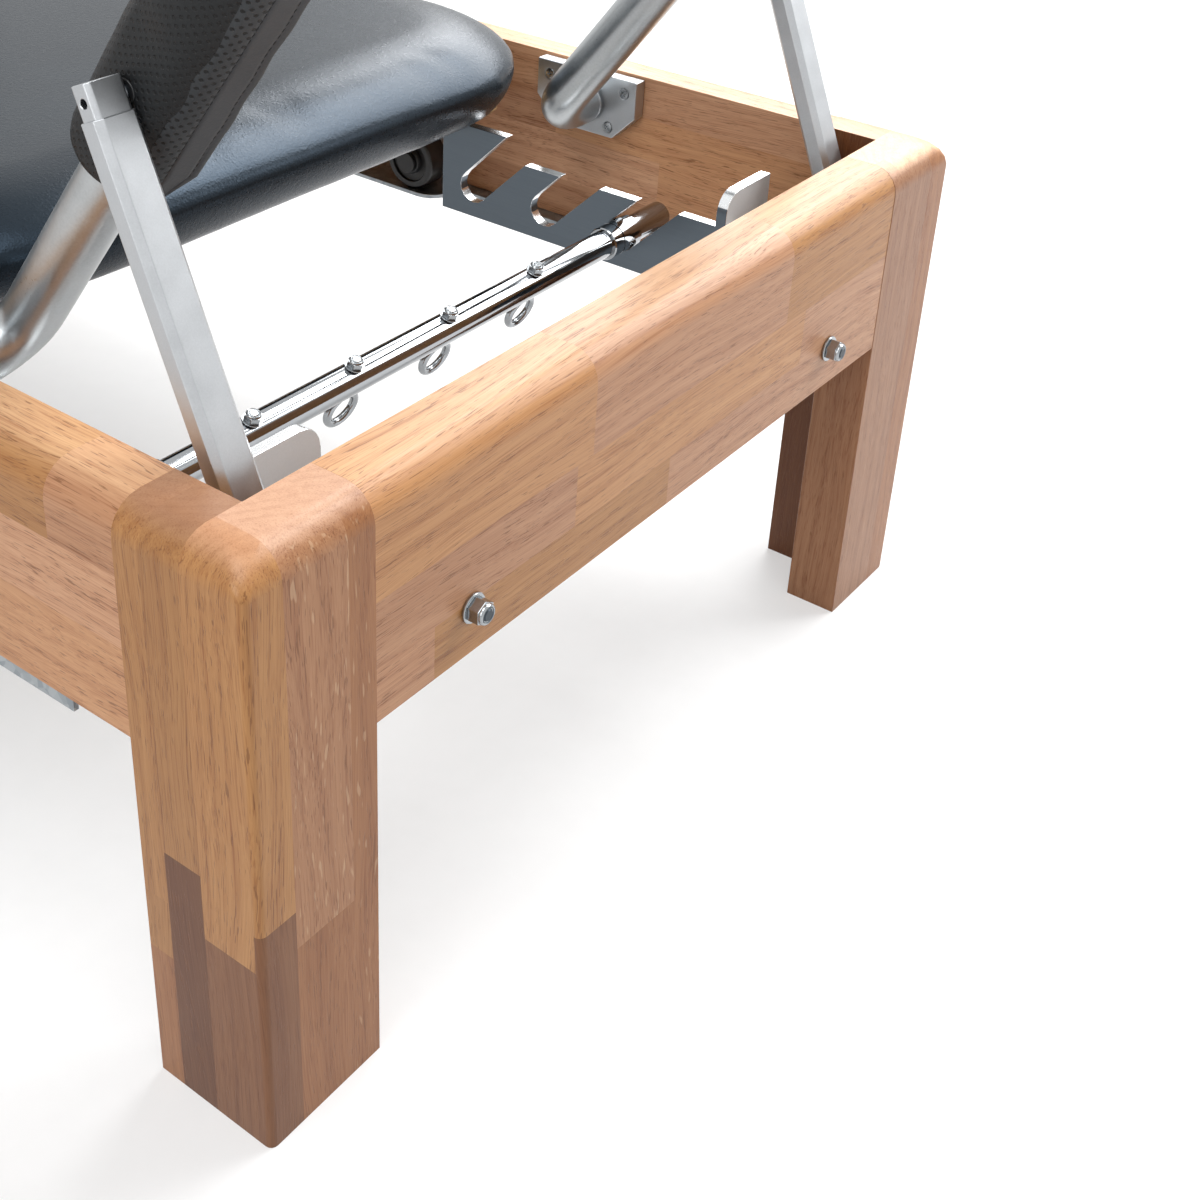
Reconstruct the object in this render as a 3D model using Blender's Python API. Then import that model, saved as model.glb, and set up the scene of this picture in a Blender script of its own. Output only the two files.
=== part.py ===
# Pilates reformer with a tower: oak frame, rolling carriage, footbar with props,
# spring bar in a three-place gear, and a push-through bar on the tower.
# Metres, +Z up. +X points to the foot end, +Y to the left of a person lying head to -X.
# The origin is on the floor, at the centre of the whole part's box.
# Places along the part are distances from the foot end's outer leg face ("from foot"),
# and places across it are distances from a side's outer leg face ("from side").

import math

import bmesh
import bpy
from mathutils import Matrix, Vector

# Oak frame
FRAME_LENGTH = 2.400
FRAME_WIDTH = 0.693
FRAME_HEIGHT = 0.365
BOARD_THICK = 0.040
LEG_ALONG_SIDE = 0.083
LEG_ALONG_END = 0.084
LEG_CORNER_ROUND = 0.0045
LEG_TOP_CORNER_ROUND = 0.012
RAIL_HEIGHT = 0.134
RAIL_SETBACK = 0.001
TOP_ROUND = 0.018

# Clearances
JOINT_GAP = 0.0003
FACE_GAP = 0.0004
RUNNING_GAP = 0.0004
ROLLING_GAP = 0.0003

# Running tracks, bent from sheet and screwed under the side rails
TRACK_SHEET = 0.0034
TRACK_OUTER_EDGE = 0.008
TRACK_INNER_EDGE = 0.083
TRACK_NARROW_EDGE = 0.053
TRACK_LIP_DROP = 0.013
TRACK_END_FROM_FOOT = 0.136
TRACK_WIDE_FROM_FOOT = 0.405
TRACK_STEP_ROUND = 0.020

# Gear plates that hold the spring bar
GEAR_THICK = 0.008
GEAR_FACE_FROM_SIDE = {"left": 0.146, "right": 0.0915}
GEAR_END_FROM_FOOT = 0.345
GEAR_BOTTOM = 0.261
GEAR_TOP = 0.3155
GEAR_FIRST_TOP = {"left": 0.333, "right": 0.3155}
GEAR_PITCH = 0.0675
GEAR_SLOTS = 3
GEAR_SLOT_WIDTH = 0.025
GEAR_FLANGE_FROM_SIDE = 0.176
GEAR_FLANGE_LENGTH = 0.030
GEAR_FLANGE_LOW = 0.240
GEAR_FLANGE_HIGH = 0.300
TAB_FROM_FOOT = 0.0933
TAB_INNER_FROM_SIDE = 0.146
TAB_OUTER_FROM_SIDE = 0.089
TAB_TOP = 0.340
TAB_ROUND = 0.015

# Bolts through the end rail into the gear plates
RAIL_BOLT_FROM_SIDE = 0.157
RAIL_BOLT_HEIGHT = 0.260
RAIL_BOLT_RADIUS = 0.004
RAIL_NUT_ACROSS_FLATS = 0.013
RAIL_NUT_PROUD = 0.0085
RAIL_BOLT_TIP_PROUD = 0.002
RAIL_WASHER_RADIUS = 0.0088
RAIL_WASHER_THICK = 0.0016
RAIL_BOLT_HEAD_RADIUS = 0.0065
RAIL_BOLT_HEAD_THICK = 0.005

# Spring bar and its eyebolts
SPRING_BAR_FROM_FOOT = 0.1795
SPRING_BAR_HEIGHT = 0.2853
SPRING_BAR_RADIUS = 0.0100
SPRING_BAR_END_FROM_SIDE = {"left": 0.094, "right": 0.077}
COLLAR_INSIDE_GEAR = 0.021
COLLAR_OUTSIDE_GEAR = 0.004
COLLAR_GROOVE = 0.0012
EYE_PLACES = (-0.1700, -0.0850, 0.0040, 0.0945)
EYE_TILT = math.radians(19.6)
EYE_SHANK_RADIUS = 0.003
EYE_RING_RADIUS = 0.0115
EYE_WIRE_RADIUS = 0.0025
EYE_RING_DROP = 0.0250
EYE_NUT_ACROSS_FLATS = 0.010
EYE_NUT_HEIGHT = 0.0065

# Footbar, its brackets and its sleeve
FOOTBAR_FROM_FOOT = 0.2805
FOOTBAR_PIVOT_HEIGHT = 0.338
FOOTBAR_RADIUS = 0.0165
FOOTBAR_WALL = 0.0060
FOOTBAR_ARM_FROM_SIDE = 0.101
FOOTBAR_ANGLE = math.radians(52.5)
FOOTBAR_ARM_LENGTH = 0.420
FOOTBAR_ELBOW_BEND = 0.036
FOOTBAR_TOP_BEND = 0.085
PIVOT_PIN_LENGTH = 0.009
BRACKET_LENGTH = 0.093
BRACKET_HEIGHT = 0.049
BRACKET_ABOVE_PIVOT = 0.025
BRACKET_THICK = 0.0117
BRACKET_CUT = 0.020
HUB_RADIUS = 0.015
HUB_THICK = 0.0035
SLEEVE_START = 0.174
SLEEVE_SHAPE = ((0.174, 0.0235), (0.176, 0.0262), (0.181, 0.0290), (0.233, 0.0310))
SLEEVE_RELIEF_PAST_PIN = 0.034

# Props that hold the footbar up
PROP_ALONG_ARM = 0.233
PROP_FROM_SIDE = 0.0615
PROP_WIDTH = 0.024
PROP_DEPTH = 0.016
PROP_CHAMFER = 0.0035
PROP_ANGLE = math.radians(112.6)
PROP_LENGTH = 0.220
PROP_TUBE_BELOW_PIN = 0.008
PROP_WALL = 0.002
PROP_BLOCK_ABOVE_PIN = 0.0085
PROP_BLOCK_DEPTH_IN_TUBE = 0.050
PROP_PIN_RADIUS = 0.004
PROP_PIN_SHOULDER_RADIUS = 0.0065
PROP_PIN_RECESS = 0.004
SEAT_FROM_FOOT = 0.0903
SEAT_DEPTH = 0.0417
SEAT_HEIGHT = 0.038

# Carriage
PAD_FOOT_FROM_FOOT = 0.279
PAD_LENGTH = 0.643
PAD_SIDE_MARGIN = 0.0515
PAD_BOTTOM = 0.337
PAD_THICK = 0.067
PAD_CORNER_ROUND = 0.125
PAD_UPPER_EDGE = (0.044, 0.022)
PAD_LOWER_EDGE = (0.028, 0.042)
BASE_THICK = 0.0177
BASE_SETBACK = 0.068
BASE_SIDE_MARGIN = 0.0495
BASE_LENGTH = 0.836
BASE_CORNER_ROUND = 0.040
WHEEL_RADIUS = 0.024
WHEEL_WIDTH = 0.022
WHEEL_FROM_SIDE = 0.069
WHEEL_HUB_RADIUS = 0.011
WHEEL_HUB_PROUD = 0.0015
WHEEL_EDGE_BEVEL = 0.0015
AXLE_RADIUS = 0.005
AXLE_HEAD_RADIUS = 0.009
AXLE_HEAD_THICK = 0.003
FRONT_WHEEL_FROM_FOOT = 0.436
REAR_WHEEL_FROM_FOOT = 1.090
SIDE_PLATE_THICK = 0.006
SIDE_PLATE_OVERHANG = 0.024
SIDE_PLATE_DEPTH = 0.050
SIDE_PLATE_EAR_RADIUS = 0.014
SIDE_PLATE_END_MARGIN = 0.030

# Shoulder rests and headrest
SHOULDER_GAP_FROM_PAD = 0.006
SHOULDER_FROM_SIDE = 0.1745
SHOULDER_WIDTH = 0.105
SHOULDER_THICK = 0.062
SHOULDER_HEIGHT = 0.170
SHOULDER_ROUND = 0.022
SHOULDER_PLATE_THICK = 0.006
SHOULDER_FOOT_LENGTH = 0.085
SHOULDER_STEM_WIDTH = 0.060
SHOULDER_STEM_HEIGHT = 0.136
HEADREST_WIDTH = 0.210
HEADREST_LENGTH = 0.240
HEADREST_GAP_FROM_PAD = 0.024
HEADREST_BOARD_THICK = 0.012
HEADREST_PAD_THICK = 0.052
HEADREST_CORNER_ROUND = 0.045
HEADREST_EDGE = (0.020, 0.020)

# Springs and the tray that carries them under the carriage
SPRING_RADIUS = 0.015
SPRING_LENGTH = 0.310
SPRING_HOOK_LENGTH = 0.024
SPRING_HOOK_RADIUS = 0.010
TRAY_FROM_FOOT = 0.520
TRAY_LENGTH = 0.390
TRAY_SIDE_MARGIN = 0.1265
TRAY_FLOOR_HEIGHT = 0.268
TRAY_SHEET = 0.004

# Tower
TOWER_FROM_HEAD = 0.100
TOWER_HEIGHT = 2.000
TOWER_TUBE_RADIUS = 0.019
TOWER_TUBE_WALL = 0.002
TOWER_BEND = 0.120
SOCKET_LENGTH = 0.060
SOCKET_DEPTH = 0.050
SOCKET_HEIGHT = 0.110
SOCKET_LOW = 0.235
SOCKET_FLOOR = 0.008

# Pulleys on the uprights
PULLEY_HEIGHT = 0.520
PULLEY_REACH = 0.066
PULLEY_RADIUS = 0.026
PULLEY_WIDTH = 0.013
PULLEY_GROOVE = 0.006
PULLEY_GROOVE_WIDE = 0.0098
PULLEY_GROOVE_NARROW = 0.0032
CLAMP_WALL = 0.008
CLAMP_HEIGHT = 0.038
FORK_SHEET = 0.004
FORK_SIDE_GAP = 0.0008
FORK_HALF_HEIGHT = 0.012
PULLEY_PIN_RADIUS = 0.004

# Push-through bar
PUSH_PIVOT_HEIGHT = 1.450
PUSH_DROP = 0.600
PUSH_ARM_FROM_SIDE = 0.1215
PUSH_TUBE_RADIUS = 0.0125
PUSH_TUBE_WALL = 0.002
PUSH_ABOVE_PIVOT = 0.024
PUSH_BEND = 0.060
PUSH_PIN_RADIUS = 0.006
PUSH_PIN_HEAD_RADIUS = 0.010
PUSH_PIN_HEAD_THICK = 0.004

# Values worked out from the ones above
FOOT_X = (FRAME_LENGTH - RAIL_NUT_PROUD) / 2
HEAD_X = FOOT_X - FRAME_LENGTH
HALF_WIDTH = FRAME_WIDTH / 2
RAIL_LOW = FRAME_HEIGHT - RAIL_HEIGHT
RAIL_THICK = BOARD_THICK - RAIL_SETBACK
TRACK_TOP = RAIL_LOW - JOINT_GAP
WHEEL_CENTRE_Z = TRACK_TOP + ROLLING_GAP + WHEEL_RADIUS
BASE_TOP = PAD_BOTTOM - JOINT_GAP
BASE_LOW = BASE_TOP - BASE_THICK
PAD_WIDTH = FRAME_WIDTH - 2 * PAD_SIDE_MARGIN
BASE_WIDTH = FRAME_WIDTH - 2 * BASE_SIDE_MARGIN
TRAY_WIDTH = FRAME_WIDTH - 2 * TRAY_SIDE_MARGIN
SHOULDER_CENTRE = HALF_WIDTH - SHOULDER_FROM_SIDE
PUSH_ARM_CENTRE = HALF_WIDTH - PUSH_ARM_FROM_SIDE
BRACKET_TOP = FOOTBAR_PIVOT_HEIGHT + BRACKET_ABOVE_PIVOT
PIVOT_PIN_RADIUS = FOOTBAR_RADIUS - FOOTBAR_WALL - RUNNING_GAP
TOWER_X = HEAD_X + TOWER_FROM_HEAD
SIDES = {"right": -1, "left": 1}
DIAGONAL = math.sqrt(0.5)


def from_foot(distance):
    return FOOT_X - distance


def from_side(side, distance):
    return side * (HALF_WIDTH - distance)


for old in list(bpy.data.objects):
    bpy.data.objects.remove(old, do_unlink=True)


# Materials

def make_material(name, colour, roughness, metallic):
    material = bpy.data.materials.new(name)
    material.use_nodes = True
    shader = material.node_tree.nodes["Principled BSDF"]
    shader.inputs["Base Color"].default_value = (*colour, 1.0)
    shader.inputs["Roughness"].default_value = roughness
    shader.inputs["Metallic"].default_value = metallic
    return material


OAK = make_material("oiled_oak", (0.52, 0.30, 0.15), 0.5, 0.0)
BIRCH = make_material("birch_plywood", (0.62, 0.48, 0.32), 0.6, 0.0)
SHEET = make_material("galvanised_sheet", (0.42, 0.44, 0.46), 0.5, 1.0)
GEAR_ALLOY = make_material("anodised_plate", (0.30, 0.34, 0.38), 0.4, 1.0)
BLASTED = make_material("blasted_aluminium", (0.62, 0.64, 0.66), 0.5, 1.0)
CHROME = make_material("polished_chrome", (0.75, 0.75, 0.76), 0.1, 1.0)
STEEL = make_material("stainless_fasteners", (0.55, 0.56, 0.58), 0.25, 1.0)
TOWER_STEEL = make_material("satin_steel_tube", (0.60, 0.61, 0.63), 0.35, 1.0)
LEATHER = make_material("slate_leatherette", (0.055, 0.065, 0.075), 0.45, 0.0)
SLEEVE_LEATHER = make_material("perforated_leatherette", (0.025, 0.026, 0.028), 0.5, 0.0)
BLACK_PLASTIC = make_material("black_nylon", (0.02, 0.02, 0.022), 0.45, 0.0)
SPRING_STEEL = make_material("spring_wire", (0.45, 0.46, 0.48), 0.3, 1.0)


# Shape helpers

def world_point(axis, a, b, along):
    """a and b are the outline's two values: y, z for X; x, z for Y; x, y for Z."""
    return {"X": (along, a, b), "Y": (a, along, b), "Z": (a, b, along)}[axis]


def finish_object(name, bm, material, smooth_angle=None):
    bmesh.ops.remove_doubles(bm, verts=bm.verts, dist=1e-6)
    bmesh.ops.recalc_face_normals(bm, faces=bm.faces)
    mesh = bpy.data.meshes.new(name)
    bm.to_mesh(mesh)
    bm.free()
    return link_mesh(name, mesh, material, smooth_angle)


def link_mesh(name, mesh, material, smooth_angle=None):
    if smooth_angle is not None:
        mesh.shade_smooth()
        mesh.set_sharp_from_angle(angle=math.radians(smooth_angle))
    if material is not None:
        mesh.materials.append(material)
    thing = bpy.data.objects.new(name, mesh)
    bpy.context.scene.collection.objects.link(thing)
    return thing


def add_prism(bm, outline, axis, low, high):
    """Pushes a flat outline along an axis into a closed body."""
    ring = [bm.verts.new(world_point(axis, a, b, low)) for a, b in outline]
    face = bm.faces.new(ring)
    pushed = bmesh.ops.extrude_face_region(bm, geom=[face])["geom"]
    tops = [v for v in pushed if isinstance(v, bmesh.types.BMVert)]
    bmesh.ops.translate(bm, verts=tops, vec=Vector(world_point(axis, 0, 0, high - low)))


def prism(name, outline, axis, low, high, material):
    bm = bmesh.new()
    add_prism(bm, outline, axis, low, high)
    return finish_object(name, bm, material)


def add_loops(bm, loops):
    """Bridges stacked closed loops of equal length and caps the two ends."""
    rings = [[bm.verts.new(p) for p in loop] for loop in loops]
    for lower, upper in zip(rings, rings[1:]):
        for i in range(len(lower)):
            j = (i + 1) % len(lower)
            bm.faces.new((lower[i], lower[j], upper[j], upper[i]))
    bm.faces.new(rings[0][::-1])
    bm.faces.new(rings[-1])


def box_outline(low, high):
    return [(low[0], low[1]), (high[0], low[1]), (high[0], high[1]), (low[0], high[1])]


def arc(centre, radius, start, end, steps):
    """Points on an arc, its two ends included; angles in degrees."""
    points = []
    for step in range(steps + 1):
        angle = math.radians(start + (end - start) * step / steps)
        points.append((centre[0] + radius * math.cos(angle), centre[1] + radius * math.sin(angle)))
    return points


def rounded_rectangle(centre, size, radius, steps=4):
    half_a, half_b = size[0] / 2 - radius, size[1] / 2 - radius
    points = []
    corners = ((1, 1, 0), (-1, 1, 90), (-1, -1, 180), (1, -1, 270))
    for sign_a, sign_b, start in corners:
        corner = (centre[0] + sign_a * half_a, centre[1] + sign_b * half_b)
        points += arc(corner, radius, start, start + 90, steps)
    return points


def add_turned(bm, profile, centre, direction, steps, ring=False):
    """Turns (radius, distance along) points round the line through centre."""
    direction = Vector(direction).normalized()
    across = direction.orthogonal().normalized()
    verts = [bm.verts.new(Vector(centre) + across * r + direction * t) for r, t in profile]
    edges = [bm.edges.new(pair) for pair in zip(verts, verts[1:])]
    if ring:
        edges.append(bm.edges.new((verts[-1], verts[0])))
    bmesh.ops.spin(bm, geom=verts + edges, cent=centre, axis=direction,
                   angle=math.tau, steps=steps, use_merge=True)


def turned(name, profile, centre, direction, steps, material, ring=False, smooth_angle=40):
    bm = bmesh.new()
    add_turned(bm, profile, centre, direction, steps, ring)
    return finish_object(name, bm, material, smooth_angle)


def rod_profile(radius, start, end):
    return [(0, start), (radius, start), (radius, end), (0, end)]


def rod(name, radius, centre, direction, start, end, steps, material):
    return turned(name, rod_profile(radius, start, end), centre, direction, steps, material)


def rounded_path(corners, bends, steps=5):
    """A path whose inner corners are bent to the given radii."""
    path = [Vector(corners[0])]
    for before, corner, after, bend in zip(corners, corners[1:], corners[2:], bends):
        corner = Vector(corner)
        way_in = (corner - Vector(before)).normalized()
        way_out = (Vector(after) - corner).normalized()
        turn = way_in.angle(way_out)
        reach = bend * math.tan(turn / 2)
        centre = corner + (way_out - way_in).normalized() * bend / math.cos(turn / 2)
        start = corner - way_in * reach - centre
        normal = way_in.cross(way_out).normalized()
        sideways = normal.cross(start)
        for step in range(steps + 1):
            angle = turn * step / steps
            path.append(centre + start * math.cos(angle) + sideways * math.sin(angle))
    path.append(Vector(corners[-1]))
    return path


def tube(name, path, radii, material, sides=16):
    """A bent round bar: a curve with a bevel and filled ends, made a mesh."""
    curve = bpy.data.curves.new(name + "_path", "CURVE")
    curve.dimensions = "3D"
    curve.bevel_depth = 1.0
    curve.bevel_resolution = (sides - 4) // 2
    curve.use_fill_caps = True
    spline = curve.splines.new("POLY")
    spline.points.add(len(path) - 1)
    for point, place, radius in zip(spline.points, path, radii):
        point.co = (*place, 1.0)
        point.radius = radius
    guide = bpy.data.objects.new(name + "_guide", curve)
    bpy.context.scene.collection.objects.link(guide)
    mesh = bpy.data.meshes.new_from_object(guide)
    bpy.data.objects.remove(guide, do_unlink=True)
    bm = bmesh.new()
    bm.from_mesh(mesh)
    return finish_object(name, bm, material, 40)


def even_radii(path, radius):
    return [radius] * len(path)


def lengthened(path, extra):
    """The same path, pushed out past both of its ends."""
    start = path[0] + (path[0] - path[1]).normalized() * extra
    end = path[-1] + (path[-1] - path[-2]).normalized() * extra
    return [start] + path[1:-1] + [end]


def combine(target, operand, operation):
    """Joins an operand to the target, or cuts it out, and keeps it as a hidden guide."""
    step = target.modifiers.new(operand.name, "BOOLEAN")
    step.operation = operation
    step.solver = "EXACT"
    step.object = operand
    operand.hide_render = True
    operand.display_type = "WIRE"
    return target


def join(target, *operands):
    for operand in operands:
        combine(target, operand, "UNION")
    return target


def cut(target, *operands):
    for operand in operands:
        combine(target, operand, "DIFFERENCE")
    return target


def hollow(pipe, path, radius, sides=12):
    """Takes the core out of a bent bar, so that it is open at both ends."""
    core_path = lengthened(path, 4 * radius)
    core = tube(pipe.name + "_core", core_path, even_radii(core_path, radius), None, sides)
    return cut(pipe, core)


def hexagon(name, across_flats, centre, direction, start, end, material):
    """A six-sided nut, its corners on a circle."""
    corner_radius = across_flats / math.sqrt(3)
    profile = rod_profile(corner_radius, start, end)
    return turned(name, profile, centre, direction, 6, material, smooth_angle=20)


# Oak frame

def make_leg(name, side, end):
    """Two boards glued into an angle; end is 1 at the foot and -1 at the head."""
    outer_x = FOOT_X if end > 0 else HEAD_X
    outer_y = side * HALF_WIDTH
    levels = [(0.0, 0.0, LEG_CORNER_ROUND)]
    for x, z in arc((0, 0), TOP_ROUND, 0, 90, 5):
        share = z / TOP_ROUND
        corner_round = LEG_CORNER_ROUND + (LEG_TOP_CORNER_ROUND - LEG_CORNER_ROUND) * share
        levels.append((FRAME_HEIGHT - TOP_ROUND + z, TOP_ROUND - x, corner_round))
    loops = []
    for height, inset, corner_round in levels:
        centre = (inset + corner_round, inset + corner_round)
        plan = [(LEG_ALONG_SIDE, inset), (LEG_ALONG_SIDE, BOARD_THICK), (BOARD_THICK, BOARD_THICK),
                (BOARD_THICK, LEG_ALONG_END), (inset, LEG_ALONG_END)]
        plan += arc(centre, corner_round, 180, 270, 4)
        loops.append([(outer_x - end * a, outer_y - side * b, height) for a, b in plan])
    bm = bmesh.new()
    add_loops(bm, loops)
    return finish_object(name, bm, OAK, 35)


def rail_section(outer, outward):
    """The rail's outline, its top outer edge rounded; outer is the frame's outer face."""
    face = outer - outward * RAIL_SETBACK
    inner = outer - outward * BOARD_THICK
    centre = (face - outward * TOP_ROUND, FRAME_HEIGHT - TOP_ROUND)
    start = 0 if outward > 0 else 180
    round_top = arc(centre, TOP_ROUND, start, 90, 5)
    return [(inner, RAIL_LOW), (face, RAIL_LOW)] + round_top + [(inner, FRAME_HEIGHT)]


def make_side_rail(name, side):
    low = HEAD_X + LEG_ALONG_SIDE + JOINT_GAP
    high = FOOT_X - LEG_ALONG_SIDE - JOINT_GAP
    return prism(name, rail_section(side * HALF_WIDTH, side), "X", low, high, OAK)


def make_end_rail(name, end):
    outer_x = FOOT_X if end > 0 else HEAD_X
    reach = HALF_WIDTH - LEG_ALONG_END - JOINT_GAP
    return prism(name, rail_section(outer_x, end), "Y", -reach, reach, OAK)


# Running tracks

def make_track(name, side):
    """A flat running strip with a lip turned down along its outer edge."""
    foot_end = from_foot(TRACK_END_FROM_FOOT)
    wide_from = from_foot(TRACK_WIDE_FROM_FOOT)
    head_end = HEAD_X + TRACK_END_FROM_FOOT
    outer = TRACK_OUTER_EDGE
    corner = (wide_from - TRACK_STEP_ROUND, TRACK_INNER_EDGE - TRACK_STEP_ROUND)
    plan = [(foot_end, outer), (foot_end, TRACK_NARROW_EDGE), (wide_from, TRACK_NARROW_EDGE)]
    plan += arc(corner, TRACK_STEP_ROUND, 0, 90, 5)
    plan += [(head_end, TRACK_INNER_EDGE), (head_end, outer)]
    outline = [(x, from_side(side, y)) for x, y in plan]
    strip = prism(name, outline, "Z", TRACK_TOP - TRACK_SHEET, TRACK_TOP, SHEET)
    lip_low = TRACK_TOP - TRACK_SHEET - TRACK_LIP_DROP
    lip_outline = [(from_side(side, outer), lip_low), (from_side(side, outer + TRACK_SHEET), lip_low),
                   (from_side(side, outer + TRACK_SHEET), TRACK_TOP), (from_side(side, outer), TRACK_TOP)]
    lip = prism(name + "_lip", lip_outline, "X", head_end, foot_end, None)
    return join(strip, lip)


# Gear plates

def gear_outline(first_top):
    """The plate's side view: three slots that open upwards towards the foot end."""
    end_face = from_foot(BOARD_THICK + FACE_GAP)
    step_x = end_face - GEAR_FLANGE_LENGTH
    head_end = from_foot(GEAR_END_FROM_FOOT)
    half = GEAR_SLOT_WIDTH / 2
    points = [(end_face, GEAR_FLANGE_LOW), (step_x, GEAR_FLANGE_LOW), (step_x, GEAR_BOTTOM),
              (head_end, GEAR_BOTTOM), (head_end, first_top)]
    tooth_top = first_top
    for index in range(GEAR_SLOTS - 1, -1, -1):
        seat_x = from_foot(SPRING_BAR_FROM_FOOT + index * GEAR_PITCH)
        seat = (seat_x, SPRING_BAR_HEIGHT)
        rise_left = tooth_top - SPRING_BAR_HEIGHT - half * DIAGONAL
        rise_right = GEAR_TOP - SPRING_BAR_HEIGHT + half * DIAGONAL
        points.append((seat_x - half * DIAGONAL + rise_left, tooth_top))
        points += arc(seat, half, 135, 315, 8)
        points.append((seat_x + half * DIAGONAL + rise_right, GEAR_TOP))
        tooth_top = GEAR_TOP
    points.append((end_face, GEAR_TOP))
    return points


def make_gear_plate(name, word):
    """The right plate stands nearer its rail than the left one; both tabs match."""
    side = SIDES[word]
    inner_distance = GEAR_FACE_FROM_SIDE[word]
    outer_distance = inner_distance - GEAR_THICK
    inner = from_side(side, inner_distance)
    outer = from_side(side, outer_distance)
    outline = gear_outline(GEAR_FIRST_TOP[word])
    plate = prism(name, outline, "Y", min(inner, outer), max(inner, outer), GEAR_ALLOY)

    end_face = from_foot(BOARD_THICK + FACE_GAP)
    flange_tip = from_side(side, GEAR_FLANGE_FROM_SIDE)
    flange_outline = box_outline((outer, GEAR_FLANGE_LOW), (flange_tip, GEAR_FLANGE_HIGH))
    flange = prism(name + "_flange", flange_outline, "X", end_face - GEAR_THICK, end_face, None)

    tab_face = from_foot(TAB_FROM_FOOT)
    tip = from_side(side, min(TAB_OUTER_FROM_SIDE, outer_distance))
    tab_inner = from_side(side, TAB_INNER_FROM_SIDE)
    round_centre = (from_side(side, TAB_INNER_FROM_SIDE - TAB_ROUND), TAB_TOP - TAB_ROUND)
    start = 180 if side > 0 else 0
    tab_outline = [(tip, GEAR_BOTTOM), (tab_inner, GEAR_BOTTOM)]
    tab_outline += arc(round_centre, TAB_ROUND, start, 90, 5)
    tab_outline.append((tip, TAB_TOP))
    tab = prism(name + "_tab", tab_outline, "X", tab_face - GEAR_THICK, tab_face, None)

    bolt_centre = (end_face, from_side(side, RAIL_BOLT_FROM_SIDE), RAIL_BOLT_HEIGHT)
    hole = rod(name + "_hole", RAIL_BOLT_RADIUS + RUNNING_GAP, bolt_centre, (1, 0, 0),
               -2 * GEAR_THICK, GEAR_THICK, 16, None)
    return cut(join(plate, flange, tab), hole)


# Bolts through the foot end rail

def make_rail_bolt(name, side):
    rail_face = FOOT_X - RAIL_SETBACK
    centre = (rail_face, from_side(side, RAIL_BOLT_FROM_SIDE), RAIL_BOLT_HEIGHT)
    tip = RAIL_SETBACK + RAIL_NUT_PROUD
    washer_top = FACE_GAP + RAIL_WASHER_THICK
    flange_back = -(RAIL_THICK + FACE_GAP + GEAR_THICK + FACE_GAP)
    profile = [(0, flange_back - RAIL_BOLT_HEAD_THICK),
               (RAIL_BOLT_HEAD_RADIUS, flange_back - RAIL_BOLT_HEAD_THICK),
               (RAIL_BOLT_HEAD_RADIUS, flange_back), (RAIL_BOLT_RADIUS, flange_back),
               (RAIL_BOLT_RADIUS, FACE_GAP), (RAIL_WASHER_RADIUS, FACE_GAP),
               (RAIL_WASHER_RADIUS, washer_top), (RAIL_BOLT_RADIUS, washer_top),
               (RAIL_BOLT_RADIUS, tip), (0, tip)]
    bolt = turned(name, profile, centre, (1, 0, 0), 16, STEEL)
    nut_top = tip - RAIL_BOLT_TIP_PROUD
    nut = hexagon(name + "_nut", RAIL_NUT_ACROSS_FLATS, centre, (1, 0, 0),
                  washer_top - JOINT_GAP, nut_top, None)
    return join(bolt, nut)


def drill_end_rail(rail):
    for word, side in SIDES.items():
        centre = (FOOT_X, from_side(side, RAIL_BOLT_FROM_SIDE), RAIL_BOLT_HEIGHT)
        hole = rod("end_rail_hole_" + word, RAIL_BOLT_RADIUS + RUNNING_GAP, centre, (1, 0, 0),
                   -2 * BOARD_THICK, BOARD_THICK, 16, None)
        cut(rail, hole)


# Spring bar and eyebolts

def eye_direction():
    """The eyebolts lean, nut towards the foot end."""
    return Vector((math.sin(EYE_TILT), 0, math.cos(EYE_TILT)))


def bar_end_profile(word):
    """(radius, distance from the middle) of one end of the bar, with its grooved collar."""
    gear_inner = HALF_WIDTH - GEAR_FACE_FROM_SIDE[word]
    reach = HALF_WIDTH - SPRING_BAR_END_FROM_SIDE[word]
    collar_radius = GEAR_SLOT_WIDTH / 2 - RUNNING_GAP
    collar_start = gear_inner - COLLAR_INSIDE_GEAR
    collar_end = gear_inner + GEAR_THICK + COLLAR_OUTSIDE_GEAR
    groove = (collar_start + gear_inner) / 2
    groove_radius = collar_radius - COLLAR_GROOVE
    return [(SPRING_BAR_RADIUS, collar_start), (collar_radius, collar_start), (collar_radius, groove),
            (groove_radius, groove), (groove_radius, groove + COLLAR_GROOVE),
            (collar_radius, groove + COLLAR_GROOVE), (collar_radius, collar_end),
            (SPRING_BAR_RADIUS, collar_end), (SPRING_BAR_RADIUS, reach), (0, reach)]


def make_spring_bar(name):
    centre = (from_foot(SPRING_BAR_FROM_FOOT), 0, SPRING_BAR_HEIGHT)
    profile = [(r, -t) for r, t in reversed(bar_end_profile("right"))] + bar_end_profile("left")
    bar = turned(name, profile, centre, (0, 1, 0), 20, CHROME)
    for index, place in enumerate(EYE_PLACES, 1):
        hole = rod("eye_hole_%d" % index, EYE_SHANK_RADIUS + RUNNING_GAP,
                   (centre[0], place, centre[2]), eye_direction(),
                   -2 * SPRING_BAR_RADIUS, 2 * SPRING_BAR_RADIUS, 12, None)
        cut(bar, hole)
    return bar


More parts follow.
